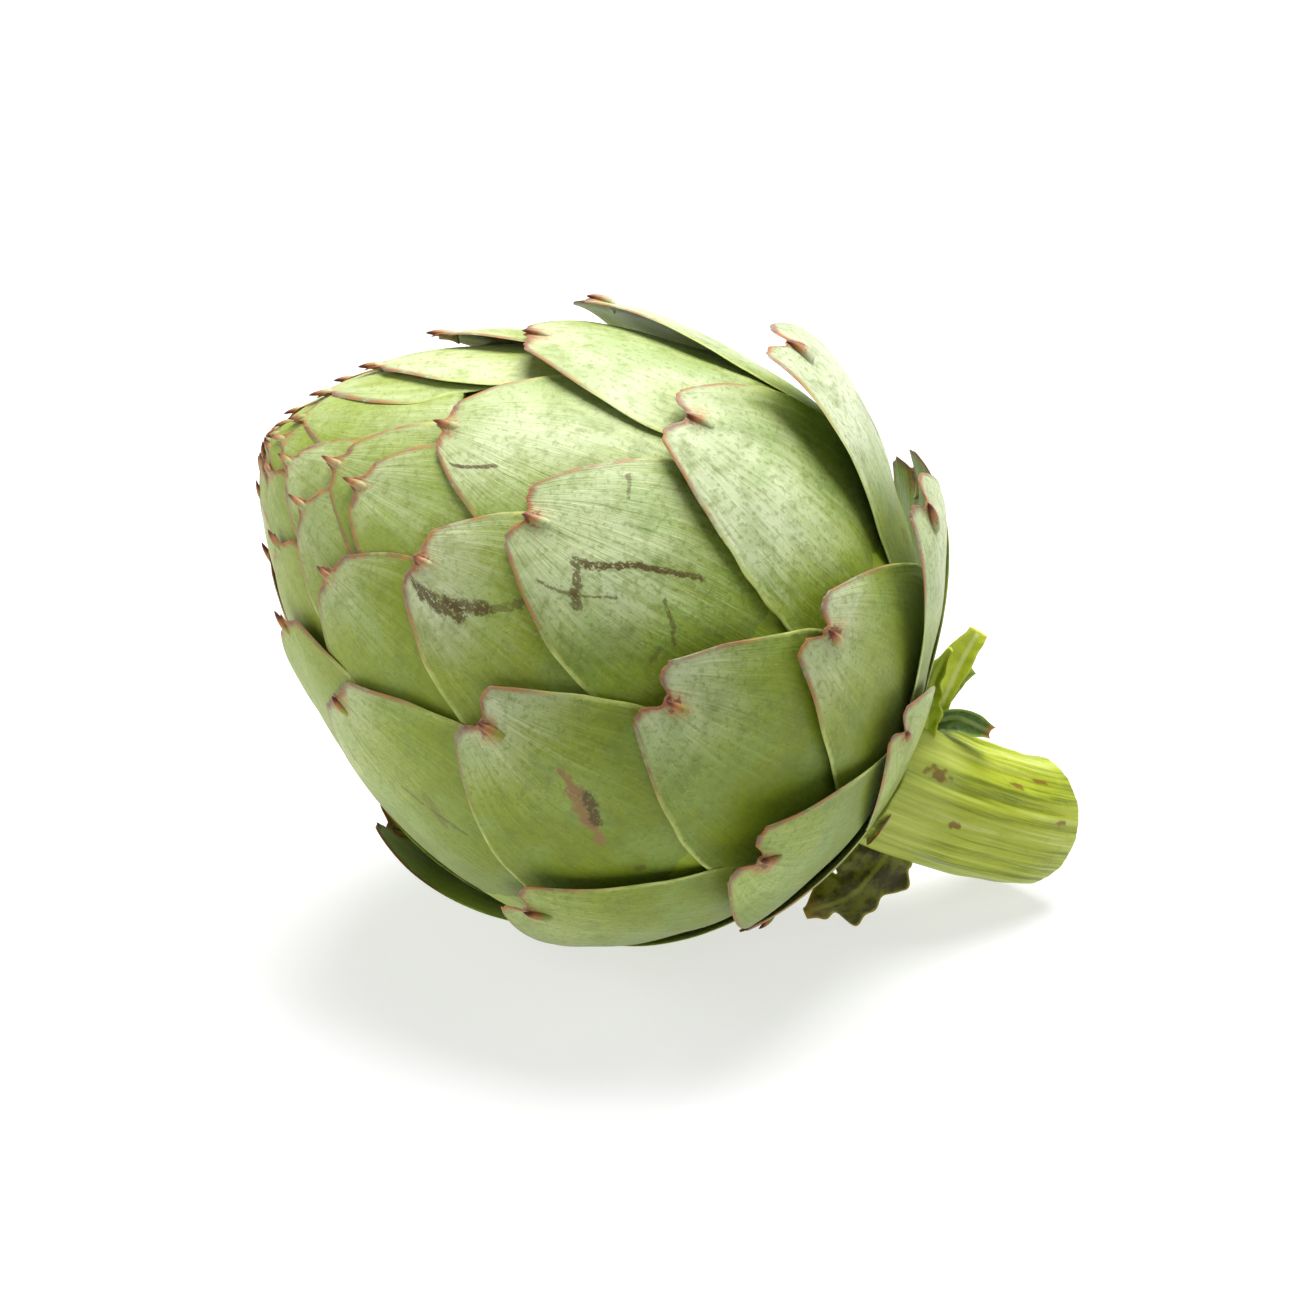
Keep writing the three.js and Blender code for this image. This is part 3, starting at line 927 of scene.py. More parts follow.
@dataclass
class SmallLeaf:
    """A small leaf: a blade that follows a smooth path, cupped across, with a midrib.

    Attributes:
        kind: Which leaf it is.
        path: Places along its middle.
        left: Widths to the left at even steps, seen from the front with the leaf growing away.
        right: Widths to the right.
        cup: How far the sides come forward.
        ragged: How uneven the rim is.
        crumple: How uneven the face is.
        thickness: Of the blade at its middle.
        vein: Height of the veins.
        vein_step: Distance between them.
        rib: Height of the midrib on the back.
        rows: Rows of the grid, along the leaf.
        columns: Columns of the grid, across it.
        front: The way its front faces.
    """

    kind: LeafKind
    path: tuple[tuple[float, float, float], ...]
    left: tuple[float, ...]
    right: tuple[float, ...]
    cup: float
    ragged: float = 0.12
    crumple: float = 0.10
    thickness: float = 0.9
    vein: float = 0.05
    vein_step: float = 2.6
    rib: float = 0.28
    rows: int = 70
    columns: int = 27
    front: tuple[float, float, float] = (0.07, -0.88, 0.47)

    def middle(self, share: np.ndarray) -> tuple[np.ndarray, np.ndarray]:
        """Follow the centripetal spline through the path's places.

        Args:
            share: Shares of the way from the first place to the last.

        Returns:
            Places and unit directions at those shares.
        """
        points = np.array(self.path)
        points = np.concatenate([[2 * points[0] - points[1]], points, [2 * points[-1] - points[-2]]])
        spans = len(self.path) - 1
        step = np.minimum((share * spans).astype(int), spans - 1)
        t = (share * spans - step)[:, None]
        p0, p1, p2, p3 = (points[step + k] for k in range(4))
        spans_between = ((p0, p1), (p1, p2), (p2, p3))
        d0, d1, d2 = (
            np.sqrt(np.linalg.norm(b - a, axis=1, keepdims=True)) for a, b in spans_between
        )
        m1 = (p1 - p0) / d0 * d1 - (p2 - p0) / (d0 + d1) * d1 + (p2 - p1)
        m2 = (p2 - p1) - (p3 - p1) / (d1 + d2) * d1 + (p3 - p2) / d2 * d1
        place = (
            (2 * t**3 - 3 * t**2 + 1) * p1
            + (t**3 - 2 * t**2 + t) * m1
            + (-2 * t**3 + 3 * t**2) * p2
            + (t**3 - t**2) * m2
        )
        heading = (
            (6 * t**2 - 6 * t) * p1
            + (3 * t**2 - 4 * t + 1) * m1
            + (6 * t - 6 * t**2) * p2
            + (3 * t**2 - 2 * t) * m2
        )
        return place, heading / np.linalg.norm(heading, axis=1, keepdims=True)

    @staticmethod
    def widths(listed: Sequence[float], share: np.ndarray) -> np.ndarray:
        """Read a width part of the way along an evenly spaced list, joined by smooth steps.

        Args:
            listed: The widths.
            share: Shares of the way from the first to the last.

        Returns:
            The width at each share.
        """
        spans = len(listed) - 1
        step = np.minimum((share * spans).astype(int), spans - 1)
        values = np.array(listed)
        part = smoothstep(share * spans - step, 0.0, 1.0)
        return values[step] + (values[step + 1] - values[step]) * part

    def piece(self) -> bpy.types.Object:
        """Make the leaf: front and back faces either side of the middle sheet, closed round the rim.

        Returns:
            The new object, with its rim, midrib, share of the length and back face as values.
        """
        share = np.linspace(0.0, 1.0, self.rows)
        across = np.sin(np.linspace(-0.5, 0.5, self.columns) * math.pi)[None, :]
        middle, heading = self.middle(share)
        front = np.array(self.front)
        side = np.cross(heading, front)
        side = side / np.linalg.norm(side, axis=1, keepdims=True)
        facing = np.cross(side, heading)
        steps = np.linalg.norm(np.diff(middle, axis=0), axis=1)
        run = np.concatenate([[0.0], np.cumsum(steps)])[:, None]
        seed = 3.7 * len(self.kind.value) + self.cup
        left = self.widths(self.left, share)[:, None]
        right = self.widths(self.right, share)[:, None]
        reach = np.where(across < 0.0, left, right)
        uneven = ripples(run + 0.0 * across, 9.0 * np.sign(across) + 0.0 * run, 3.4, seed)
        reach = reach * (1.0 + self.ragged * uneven)
        x = across * reach
        rim = np.minimum(reach * (1.0 - np.abs(across)), run[-1, 0] - run + 0.05)
        bulge = self.cup * across**2 + self.crumple * ripples(x, run + 0.0 * x, 4.5, seed + 2.0)
        slant = 2.0 * math.pi * (run - 0.7 * np.abs(x)) / self.vein_step
        veins = self.vein * np.cos(slant) * smoothstep(np.abs(x), 0.2, 1.0)
        rib = self.rib * np.exp(-((x / 0.45) ** 2)) * (1.0 - 0.6 * share[:, None])
        thick = self.thickness * 0.5 * (0.35 + 0.65 * np.sqrt(np.clip(rim / 1.2, 0.0, 1.0)))
        sheet = middle[:, None, :] + side[:, None, :] * x[..., None]
        upper = sheet + facing[:, None, :] * (bulge + thick + veins)[..., None]
        lower = sheet + facing[:, None, :] * (bulge - thick - rib + veins)[..., None]
        places, quads = two_faced(upper, lower)
        places[:, 2] = np.maximum(places[:, 2], 0.15)
        blade = np.stack(np.broadcast_arrays(x, run), axis=-1).reshape(-1, 2)
        parts = MeshParts()
        parts.add(
            places,
            quads,
            np.concatenate([blade, blade]),
            rim=np.tile(rim.ravel(), 2),
            midrib=np.tile(np.abs(x).ravel(), 2),
            share=np.tile(np.broadcast_to(share[:, None], x.shape).ravel(), 2),
            inside=np.repeat([0.0, 1.0], blade.shape[0]),
        )
        return parts.fill(f"fine_{self.kind.value}")


def small_leaves() -> list[SmallLeaf]:
    """Return the five small leaves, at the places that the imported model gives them."""
    return [
        SmallLeaf(
            LeafKind.UPPER,
            ((47.2, -1.5, 32.0), (47.2, -1.0, 38.5), (48.2, -0.5, 44.0), (50.6, -0.2, 49.2)),
            (1.2, 2.4, 2.0, 0.5),
            (1.2, 2.4, 1.5, 0.5),
            cup=0.9,
        ),
        SmallLeaf(
            LeafKind.CUT,
            ((48.2, 3.0, 33.0), (50.2, 3.4, 39.0), (52.4, 4.2, 44.5), (55.0, 5.6, 49.4)),
            (1.0, 1.4, 3.0, 1.7),
            (1.0, 1.2, 1.8, 1.6),
            cup=0.8,
            ragged=0.07,
        ),
        SmallLeaf(
            LeafKind.LOBE,
            ((49.5, 5.6, 35.5), (52.0, 5.8, 40.5), (54.2, 6.0, 42.2)),
            (1.4, 1.8, 0.9),
            (1.0, 1.5, 0.9),
            cup=-0.5,
        ),
        SmallLeaf(
            LeafKind.CURLED,
            ((49.0, 2.0, 34.8), (51.8, 2.2, 35.4), (54.5, 2.2, 34.4), (57.2, 2.8, 32.6)),
            (1.8, 1.7, 1.8, 1.0),
            (1.8, 2.2, 2.0, 1.0),
            cup=1.3,
        ),
        SmallLeaf(
            LeafKind.LOWER,
            ((43.0, -1.0, 14.2), (40.0, -2.0, 9.6), (36.0, -3.2, 5.0), (28.5, -4.0, 1.8)),
            (3.4, 4.2, 6.0, 3.4, 5.2, 2.4, 1.2),
            (3.2, 6.8, 6.6, 7.2, 4.6, 4.4, 0.8),
            cup=-0.6,
            ragged=0.22,
            crumple=0.30,
        ),
    ]


class Finish:
    """A material under construction, with short calls for the nodes that the artichoke's skins need."""

    def __init__(self, name: str, roughness: float = 0.5) -> None:
        """Start from a Principled shader with the given roughness."""
        self.material = bpy.data.materials.new(name)
        self.material.use_nodes = True
        self.tree = self.material.node_tree
        self.shader = next(n for n in self.tree.nodes if n.type == "BSDF_PRINCIPLED")
        self.shader.inputs["Roughness"].default_value = roughness

    def node(
        self, kind: str, settings: dict | None = None, **inputs: Number | Paint | Spot
    ) -> bpy.types.Node:
        """Add a node, set its properties and feed its inputs, by name or by _number.

        Args:
            kind: The node's type.
            settings: Properties to set on it.
            **inputs: Values or sockets; a name _3 means the fourth input.

        Returns:
            The new node.
        """
        node = self.tree.nodes.new(kind)
        for key, value in (settings or {}).items():
            setattr(node, key, value)
        for key, value in inputs.items():
            socket = node.inputs[int(key[1:])] if key.startswith("_") else node.inputs[key.replace("_", " ")]
            self.feed(socket, value)
        return node

    def feed(self, socket: Socket, value: Number | Paint | Spot | str) -> None:
        """Link a socket to an input, or set the input's own value."""
        if isinstance(value, Socket):
            self.tree.links.new(value, socket)
        else:
            socket.default_value = value

    def value(self, name: str) -> Socket:
        """Read one of the mesh's own values."""
        return self.node("ShaderNodeAttribute", {"attribute_name": name}).outputs["Fac"]

    def place(self) -> Socket:
        """Read the place on the object, in metres."""
        return self.node("ShaderNodeTexCoord").outputs["Object"]

    def blade(self) -> Socket:
        """Read the place on the flat blade, in millimetres."""
        flat = self.node("ShaderNodeUVMap", {"uv_map": "Blade"}).outputs["UV"]
        return self.vector("SCALE", flat, scale=100.0)

    def math(self, kind: str, a: Number, b: Number = 0.0, clamp: bool = False) -> Socket:
        """Do arithmetic on one or two numbers."""
        return self.node("ShaderNodeMath", {"operation": kind, "use_clamp": clamp}, _0=a, _1=b).outputs[0]

    def vector(self, kind: str, a: Spot, b: Spot | None = None, scale: Number | None = None) -> Socket:
        """Do arithmetic on vectors; a length or a dot product comes out as a number.

        Args:
            kind: The operation.
            a: The first vector.
            b: The second vector, if the operation has one.
            scale: The factor, if it has one.

        Returns:
            The result.
        """
        node = self.node("ShaderNodeVectorMath", {"operation": kind}, _0=a)
        if b is not None:
            self.feed(node.inputs[1], b)
        if scale is not None:
            self.feed(node.inputs["Scale"], scale)
        return node.outputs["Value" if kind in ("LENGTH", "DOT_PRODUCT") else "Vector"]

    def noise(self, where: Socket, scale: float, detail: float = 2.0, rough: float = 0.5) -> Socket:
        """Read smooth noise near 0.5."""
        inputs = {"Vector": where, "Scale": scale, "Detail": detail, "Roughness": rough}
        return self.node("ShaderNodeTexNoise", **inputs).outputs[0]

    def step(
        self, value: Number, low: float, high: float, start: float = 0.0, stop: float = 1.0
    ) -> Socket:
        """Go smoothly from start to stop as a value goes from low to high."""
        settings = {"interpolation_type": "SMOOTHSTEP"}
        inputs = {"_0": value, "_1": low, "_2": high, "_3": start, "_4": stop}
        return self.node("ShaderNodeMapRange", settings, **inputs).outputs[0]

    def blend(self, share: Number, a: Paint, b: Paint, kind: str = "MIX") -> Socket:
        """Mix two colours."""
        settings = {"data_type": "RGBA", "blend_type": kind, "clamp_factor": True}
        return self.node("ShaderNodeMix", settings, _0=share, _6=a, _7=b).outputs[2]

    def stain(
        self, colour: Paint, over: Paint, value: Socket, low: float, high: float, most: float = 1.0
    ) -> Socket:
        """Lay one colour over another, from none of it to most as a value goes from low to high."""
        return self.blend(self.step(value, low, high, 0.0, most), colour, over)

    def plus(self, *values: Number) -> Socket:
        """Add numbers together."""
        total = values[0]
        for value in values[1:]:
            total = self.math("ADD", total, value)
        return total

    def times(self, *values: Number) -> Socket:
        """Multiply numbers together."""
        total = values[0]
        for value in values[1:]:
            total = self.math("MULTIPLY", total, value)
        return total

    def shift(self, noise: Socket, amount: float) -> Socket:
        """Return a noise centred on nought and scaled."""
        return self.math("MULTIPLY", self.math("SUBTRACT", noise, 0.5), amount)

    def done(
        self,
        colour: Paint,
        height: Socket | None = None,
        depth: float = 0.0002,
        rough: Socket | None = None,
    ) -> bpy.types.Material:
        """Feed the shader.

        Args:
            colour: The base colour.
            height: Relief from 0 to 1, or None.
            depth: How deep the relief is, in metres.
            rough: A roughness that varies, or None.

        Returns:
            The finished material.
        """
        self.feed(self.shader.inputs["Base Color"], colour)
        if height is not None:
            bump = self.node("ShaderNodeBump", Height=height, Strength=0.8, Distance=depth)
            self.feed(self.shader.inputs["Normal"], bump.outputs["Normal"])
        if rough is not None:
            self.feed(self.shader.inputs["Roughness"], rough)
        return self.material


@dataclass(frozen=True)
class Scar:
    """A scratch on a bract: a line between two places on the blade, in millimetres.

    Attributes:
        start: One end.
        end: The other end.
        width: Half its width.
        strength: How strongly it covers the skin.
        ragged: How far its line strays, in millimetres.
        healed: Whether it has turned to a pale callus.
    """

    start: tuple[float, float]
    end: tuple[float, float]
    width: float
    strength: float = 0.9
    ragged: float = 0.8
    healed: bool = False


@dataclass(frozen=True)
class BractSkin:
    """The bracts' wax-dusted skin: pale where it is bare and paler still high up as painted light,
    yellow-green where it was covered, with pink rims.

    Attributes:
        pale: Bare skin high up and towards the head's tip, a paler lit copy of the bare skin laid there as
            painted light from above.
        bare_unlit: Bare skin lower down and towards the stalk, the copy without that painted light.
        middle: Skin that was partly covered; also painted shade on lower skin.
        deep: Skin under another bract; also painted shade low down.
        streak_dark: Dark fibres, blotches and specks.
        streak_light: Light fibres and specks.
        rim: Margin near a bract's end.
        rust: Second colour of that margin.
        rim_light: Margin further down.
        brown: Round the notch and on the spine.
        dark_brown: At the notch's middle and the spine's point.
        scar: Fresh scars.
        callus: Healed scars.
        inner: Inner face of a blade.
        yellow: Small bracts round the tip.
        cool: Cooler green patches.
        tip: Where the head's tip is, in metres.
        sheen: How much the wax lights up at a slant.
        gloss: Specular level.
    """

    pale: Colour = srgb(198, 209, 172)
    bare_unlit: Colour = srgb(170, 187, 104)
    middle: Colour = srgb(134, 153, 40)
    deep: Colour = srgb(120, 138, 8)
    streak_dark: Colour = srgb(100, 118, 28)
    streak_light: Colour = srgb(198, 209, 128)
    rim: Colour = srgb(120, 52, 56)
    rust: Colour = srgb(166, 102, 50)
    rim_light: Colour = srgb(186, 196, 106)
    brown: Colour = srgb(168, 108, 60)
    dark_brown: Colour = srgb(98, 40, 24)
    scar: Colour = srgb(84, 68, 24)
    callus: Colour = srgb(140, 108, 60)
    inner: Colour = srgb(152, 172, 44)
    yellow: Colour = srgb(164, 178, 66)
    cool: Colour = srgb(130, 160, 84)
    tip: tuple[float, float, float] = (-0.0559, 0.0, 0.0813)
    sheen: float = 0.12
    gloss: float = 0.34

    def material(self, name: str, scars: Sequence[Scar] = ()) -> bpy.types.Material:
        """Make the skin.

        Args:
            name: The material's name.
            scars: Marks to draw on the blade.

        Returns:
            The material.
        """
        f = Finish(name, 0.46)
        f.shader.inputs["Specular IOR Level"].default_value = self.gloss
        f.shader.inputs["Sheen Weight"].default_value = self.sheen
        f.shader.inputs["Sheen Roughness"].default_value = 0.5
        f.shader.inputs["Sheen Tint"].default_value = (0.95, 1.0, 0.82, 1.0)
        where, blade = f.place(), f.blade()
        bare, rim, tipward = f.value("bare"), f.value("rim"), f.value("tipward")
        inside, seed, spine = f.value("inside"), f.value("seed"), f.value("spine")
        down = f.node("ShaderNodeSeparateXYZ", Vector=blade).outputs[1]

        # Fibres run along each blade, and the seed sets one bract's apart from another's.
        offset = f.node("ShaderNodeCombineXYZ", X=f.times(seed, 310.0), Z=f.times(seed, 97.0))
        apart = f.vector("ADD", blade, offset.outputs[0])
        fibres = f.noise(f.vector("MULTIPLY", apart, (0.9, 0.06, 1.0)), 1.0, 4.0, 0.6)
        hairlines = f.noise(f.vector("MULTIPLY", apart, (1.7, 0.09, 1.0)), 1.0, 4.0, 0.66)
        patches = f.noise(where, 62.0, 4.0, 0.6)
        clouds = f.noise(f.vector("ADD", where, (0.3, 0.1, 0.2)), 85.0, 3.0, 0.6)
        mottle = f.noise(where, 240.0, 3.0, 0.6)
        grain = f.noise(where, 1100.0, 2.0, 0.6)
        dust = f.noise(where, 2600.0, 1.0, 0.5)

        # The skin gets paler the further it is from being covered; painted light also makes it paler the
        # higher it lies, and painted shade makes it a deeper green low down.
        axes = f.node("ShaderNodeSeparateXYZ", Vector=where).outputs
        level = axes[2]
        # Painted light: bare skin higher up and towards the head's tip takes the paler, lit colour.
        painted_light_from_above = f.step(f.math("SUBTRACT", level, f.times(axes[0], 0.35)), 0.030, 0.078)
        # Painted light and shade by height: skin high up counts as less covered, skin low down as more
        # covered.
        painted_light_by_height = f.step(level, 0.015, 0.10, -13.0, 16.0)
        bare_plus_painted_light = f.plus(bare, painted_light_by_height, f.shift(fibres, 16.0), f.shift(patches, 16.0))
        colour = f.stain(self.deep, self.middle, bare_plus_painted_light, 1.0, 13.0)
        colour = f.stain(colour, f.blend(painted_light_from_above, self.bare_unlit, self.pale), bare_plus_painted_light, 9.0, 28.0)

        # Fibres, blotches and specks; the light ones are fainter where the skin was covered and, through the
        # painted shade, lower down.
        bare_and_lit = f.step(bare_plus_painted_light, 2.0, 18.0, 0.3, 1.0)
        light_fibres = f.times(f.step(fibres, 0.52, 0.75, 0.0, 0.16), bare_and_lit)
        light_lines = f.times(f.step(hairlines, 0.44, 0.28, 0.0, 0.32), bare_and_lit)
        light_specks = f.times(f.step(dust, 0.58, 0.76, 0.0, 0.30), bare_and_lit)
        colour = f.blend(light_fibres, colour, self.streak_light)
        colour = f.stain(colour, self.streak_dark, hairlines, 0.52, 0.72, 0.50)
        colour = f.blend(light_lines, colour, self.streak_light)
        colour = f.stain(colour, self.cool, clouds, 0.46, 0.66, 0.42)
        colour = f.stain(colour, self.streak_dark, mottle, 0.48, 0.70, 0.42)
        colour = f.stain(colour, self.streak_dark, patches, 0.52, 0.68, 0.32)
        colour = f.stain(colour, self.streak_dark, grain, 0.50, 0.68, 0.44)
        colour = f.blend(light_specks, colour, self.streak_light)

        # The small bracts round the tip are yellower, and no two bracts are quite alike.
        from_tip = f.vector("LENGTH", f.vector("SUBTRACT", where, self.tip))
        colour = f.stain(colour, self.yellow, from_tip, 0.080, 0.030, 0.24)
        tint = f.blend(seed, (0.91, 0.93, 0.80, 1.0), (1.06, 1.02, 1.10, 1.0))
        colour = f.blend(1.0, colour, tint, "MULTIPLY")
        lining = f.stain(self.inner, self.deep, hairlines, 0.4, 0.7, 0.6)
        colour = f.blend(f.times(inside, f.step(rim, 0.3, 1.2)), colour, lining)

        # The margins: pink and rust near a bract's end, pale further down, worn away in places.
        ragged = f.plus(rim, f.shift(grain, 0.8), f.shift(mottle, 1.0))
        age = f.plus(down, f.shift(patches, 16.0), f.times(seed, 5.0))
        flush = f.stain(self.rim, self.rust, mottle, 0.42, 0.60)
        edge = f.stain(flush, self.rim_light, age, 9.0, 18.0)
        worn = f.times(f.step(ragged, 1.0, 0.3, 0.0, 0.88), f.step(mottle, 0.34, 0.58, 0.3, 1.0))
        colour = f.blend(worn, colour, edge)
        near_tip = f.step(f.plus(tipward, f.shift(patches, 9.0)), 9.0, 3.0)
        colour = f.blend(f.times(f.step(ragged, 1.6, 0.3), near_tip, 0.7), colour, flush)

        # Brown spreads from the notch; then come the scars and the spine.
        spread = f.plus(tipward, f.shift(mottle, 6.0), f.shift(grain, 3.5))
        colour = f.stain(colour, self.brown, spread, 3.0, 0.6, 0.62)
        notch = f.plus(tipward, f.shift(grain, 5.0))
        colour = f.stain(colour, self.dark_brown, notch, 1.5, 0.2, 0.7)
        for scar in scars:
            shown = f.times(self.mark(f, blade, scar), f.math("SUBTRACT", 1.0, inside))
            colour = f.blend(shown, colour, self.callus if scar.healed else self.scar)
        colour = f.stain(colour, self.brown, f.plus(spine, f.shift(mottle, 0.3)), 0.25, 0.6, 0.9)
        colour = f.stain(colour, self.dark_brown, f.plus(spine, f.shift(mottle, 0.2)), 0.55, 0.85)
        height = f.plus(f.times(hairlines, 0.5), f.times(grain, 0.35), f.times(fibres, 0.6))
        rough = f.step(f.plus(patches, f.shift(grain, 0.4)), 0.2, 0.8, 0.40, 0.56)
        return f.done(colour, height, 0.00022, rough)

    @staticmethod
    def mark(f: Finish, blade: Socket, scar: Scar) -> Socket:
        """Work out how strongly a scar shows: the distance to its line, bent and broken up by noise.

        Args:
            f: The finish that the nodes go to.
            blade: The place on the blade, in millimetres.
            scar: The scar.

        Returns:
            Its strength, from 0 to 1.
        """
        wobble = f.node("ShaderNodeTexNoise", Vector=blade, Scale=0.45, Detail=5.0, Roughness=0.8).outputs[1]
        stray = f.vector("SUBTRACT", wobble, (0.5, 0.5, 0.5))
        bent = f.vector("ADD", blade, f.vector("SCALE", stray, scale=scar.ragged * 3.2))
        start = (scar.start[0], scar.start[1], 0.0)
        run = (scar.end[0] - scar.start[0], scar.end[1] - scar.start[1], 0.0)
        size = run[0] ** 2 + run[1] ** 2 + 1e-6
        away = f.vector("SUBTRACT", f.vector("MULTIPLY", bent, (1.0, 1.0, 0.0)), start)
        share = f.math("DIVIDE", f.vector("DOT_PRODUCT", away, run), size, clamp=True)
        off = f.vector("LENGTH", f.vector("SUBTRACT", away, f.vector("SCALE", run, scale=share)))
        broken = f.step(f.noise(blade, 0.9, 5.0, 0.8), 0.38, 0.47)
        return f.times(f.step(off, scar.width * 1.1, scar.width * 0.6), broken, scar.strength)


@dataclass(frozen=True)
class StalkSkin:
    """The stalk's striped skin, its brown spots and its paler cut face with a ring of fibres.

    Attributes:
        base: Between the stripes.
        light: Light stripes.
        dark: Dark stripes and the fibre ends.
        spot: Brown spots.
        cut: Outer part of the cut face.
        pith: Its middle.
    """

    base: Colour = srgb(164, 176, 44)
    light: Colour = srgb(190, 201, 104)
    dark: Colour = srgb(116, 130, 16)
    spot: Colour = srgb(118, 76, 28)
    cut: Colour = srgb(196, 203, 132)
    pith: Colour = srgb(214, 220, 168)

    def material(self) -> bpy.types.Material:
        """Make the skin.

        Returns:
            The material.
        """
        f = Finish("stalk_skin", 0.45)
        f.shader.inputs["Specular IOR Level"].default_value = 0.3
        where = f.place()
        stripe, spot, cut, depth, run = (f.value(name) for name in ("stripe", "spot", "cut", "depth", "run"))
        grain = f.noise(where, 700.0, 3.0, 0.6)
        patches = f.noise(where, 110.0, 3.0, 0.6)
        lines = f.noise(f.vector("MULTIPLY", f.blade(), (1.5, 0.05, 1.0)), 1.0, 4.0, 0.62)

        # Stripes along the ribs, paler by the head, with brown spots drawn out along the fibres.
        band = f.plus(f.times(stripe, 0.45), f.shift(lines, 5.5), f.shift(patches, 1.4))
        colour = f.stain(self.dark, self.base, band, -1.2, 0.3)
        colour = f.stain(colour, self.light, band, 0.2, 1.5, 0.85)
        colour = f.stain(colour, self.dark, grain, 0.55, 0.75, 0.25)
        colour = f.stain(colour, self.light, run, 12.0, 5.0, 0.45)
        blot = f.plus(spot, f.shift(lines, 1.0), f.shift(grain, 0.7))
        spotted = f.times(f.step(blot, 0.35, 1.0, 0.0, 0.8), f.step(spot, 0.02, 0.3))
        colour = f.blend(spotted, colour, self.spot)

        # The cut face: pith in the middle, then a ring of dark fibre ends, then the rind.
        face = f.stain(self.cut, self.pith, depth, 0.75, 0.35)
        ring = f.times(f.step(depth, 0.62, 0.70), f.step(depth, 0.86, 0.78))
        dots = f.step(f.noise(where, 1300.0, 1.0, 0.5), 0.50, 0.60)
        face = f.blend(f.times(ring, dots, 0.7), face, self.dark)
        face = f.stain(face, self.spot, grain, 0.5, 0.8, 0.35)
        face = f.stain(face, self.base, depth, 0.92, 1.0, 0.8)
        colour = f.blend(cut, colour, face)
        height = f.plus(f.times(grain, 0.6), f.times(stripe, 0.12))
        return f.done(colour, height, 0.0003, f.step(patches, 0.3, 0.7, 0.36, 0.5))


@dataclass(frozen=True)
class LeafSkin:
    """A small leaf's skin.

    Attributes:
        face: Most of it.
        shade: Darker patches.
        rib: The midrib.
        rim: The margin.
        end: The leaf's end.
        end_from: The share of its length at which that colour starts.
    """

    face: Colour
    shade: Colour
    rib: Colour
    rim: Colour
    end: Colour
    end_from: float = 0.9

    def material(self, name: str) -> bpy.types.Material:
        """Make the skin.

        Args:
            name: The material's name.

        Returns:
            The material.
        """
        f = Finish(name, 0.5)
        f.shader.inputs["Specular IOR Level"].default_value = 0.35
        where, blade = f.place(), f.blade()
        rim, midrib, share, inside = (f.value(label) for label in ("rim", "midrib", "share", "inside"))
        patches = f.noise(where, 260.0, 3.0, 0.6)
        grain = f.noise(where, 1300.0, 2.0, 0.6)
        veins = f.noise(f.vector("MULTIPLY", blade, (0.9, 0.35, 1.0)), 1.0, 3.0, 0.6)
        colour = f.stain(self.shade, self.face, f.plus(patches, f.shift(veins, 0.6)), 0.36, 0.66)
        colour = f.stain(colour, self.shade, grain, 0.52, 0.74, 0.30)
        colour = f.stain(colour, self.rib, f.plus(midrib, f.shift(grain, 0.3)), 0.55, 0.15, 0.8)
        colour = f.stain(colour, self.rim, f.plus(rim, f.shift(grain, 0.5)), 0.55, 0.1, 0.8)
        towards_end = f.plus(share, f.shift(patches, 0.16))
        colour = f.stain(colour, self.end, towards_end, self.end_from, 1.0, 0.85)
        colour = f.blend(f.times(inside, 0.35), colour, self.rib)
        height = f.plus(f.times(veins, 0.7), f.times(grain, 0.4))
        return f.done(colour, height, 0.00025)


LEAF_SKINS: dict[LeafKind, LeafSkin] = {
    LeafKind.UPPER: LeafSkin(
        face=srgb(156, 176, 10),
        shade=srgb(126, 148, 4),
        rib=srgb(188, 204, 60),
        rim=srgb(198, 210, 66),
        end=srgb(200, 204, 80),
        end_from=0.93,
    ),
    LeafKind.CUT: LeafSkin(
        face=srgb(208, 222, 66),
        shade=srgb(186, 202, 40),
        rib=srgb(230, 238, 150),
        rim=srgb(218, 226, 96),
        end=srgb(204, 194, 84),
        end_from=0.95,
    ),
    LeafKind.LOBE: LeafSkin(
        face=srgb(134, 150, 48),
        shade=srgb(108, 126, 28),
        rib=srgb(170, 182, 96),
        rim=srgb(150, 164, 66),
        end=srgb(140, 150, 60),
        end_from=0.95,
    ),
    LeafKind.CURLED: LeafSkin(
        face=srgb(94, 122, 44),
        shade=srgb(52, 80, 22),
        rib=srgb(150, 172, 96),
        rim=srgb(150, 172, 78),
        end=srgb(176, 120, 50),
        end_from=0.84,
    ),
    LeafKind.LOWER: LeafSkin(
        face=srgb(112, 116, 30),
        shade=srgb(62, 58, 10),
        rib=srgb(132, 136, 44),
        rim=srgb(170, 158, 36),
        end=srgb(140, 112, 26),
        end_from=0.84,
    ),
}


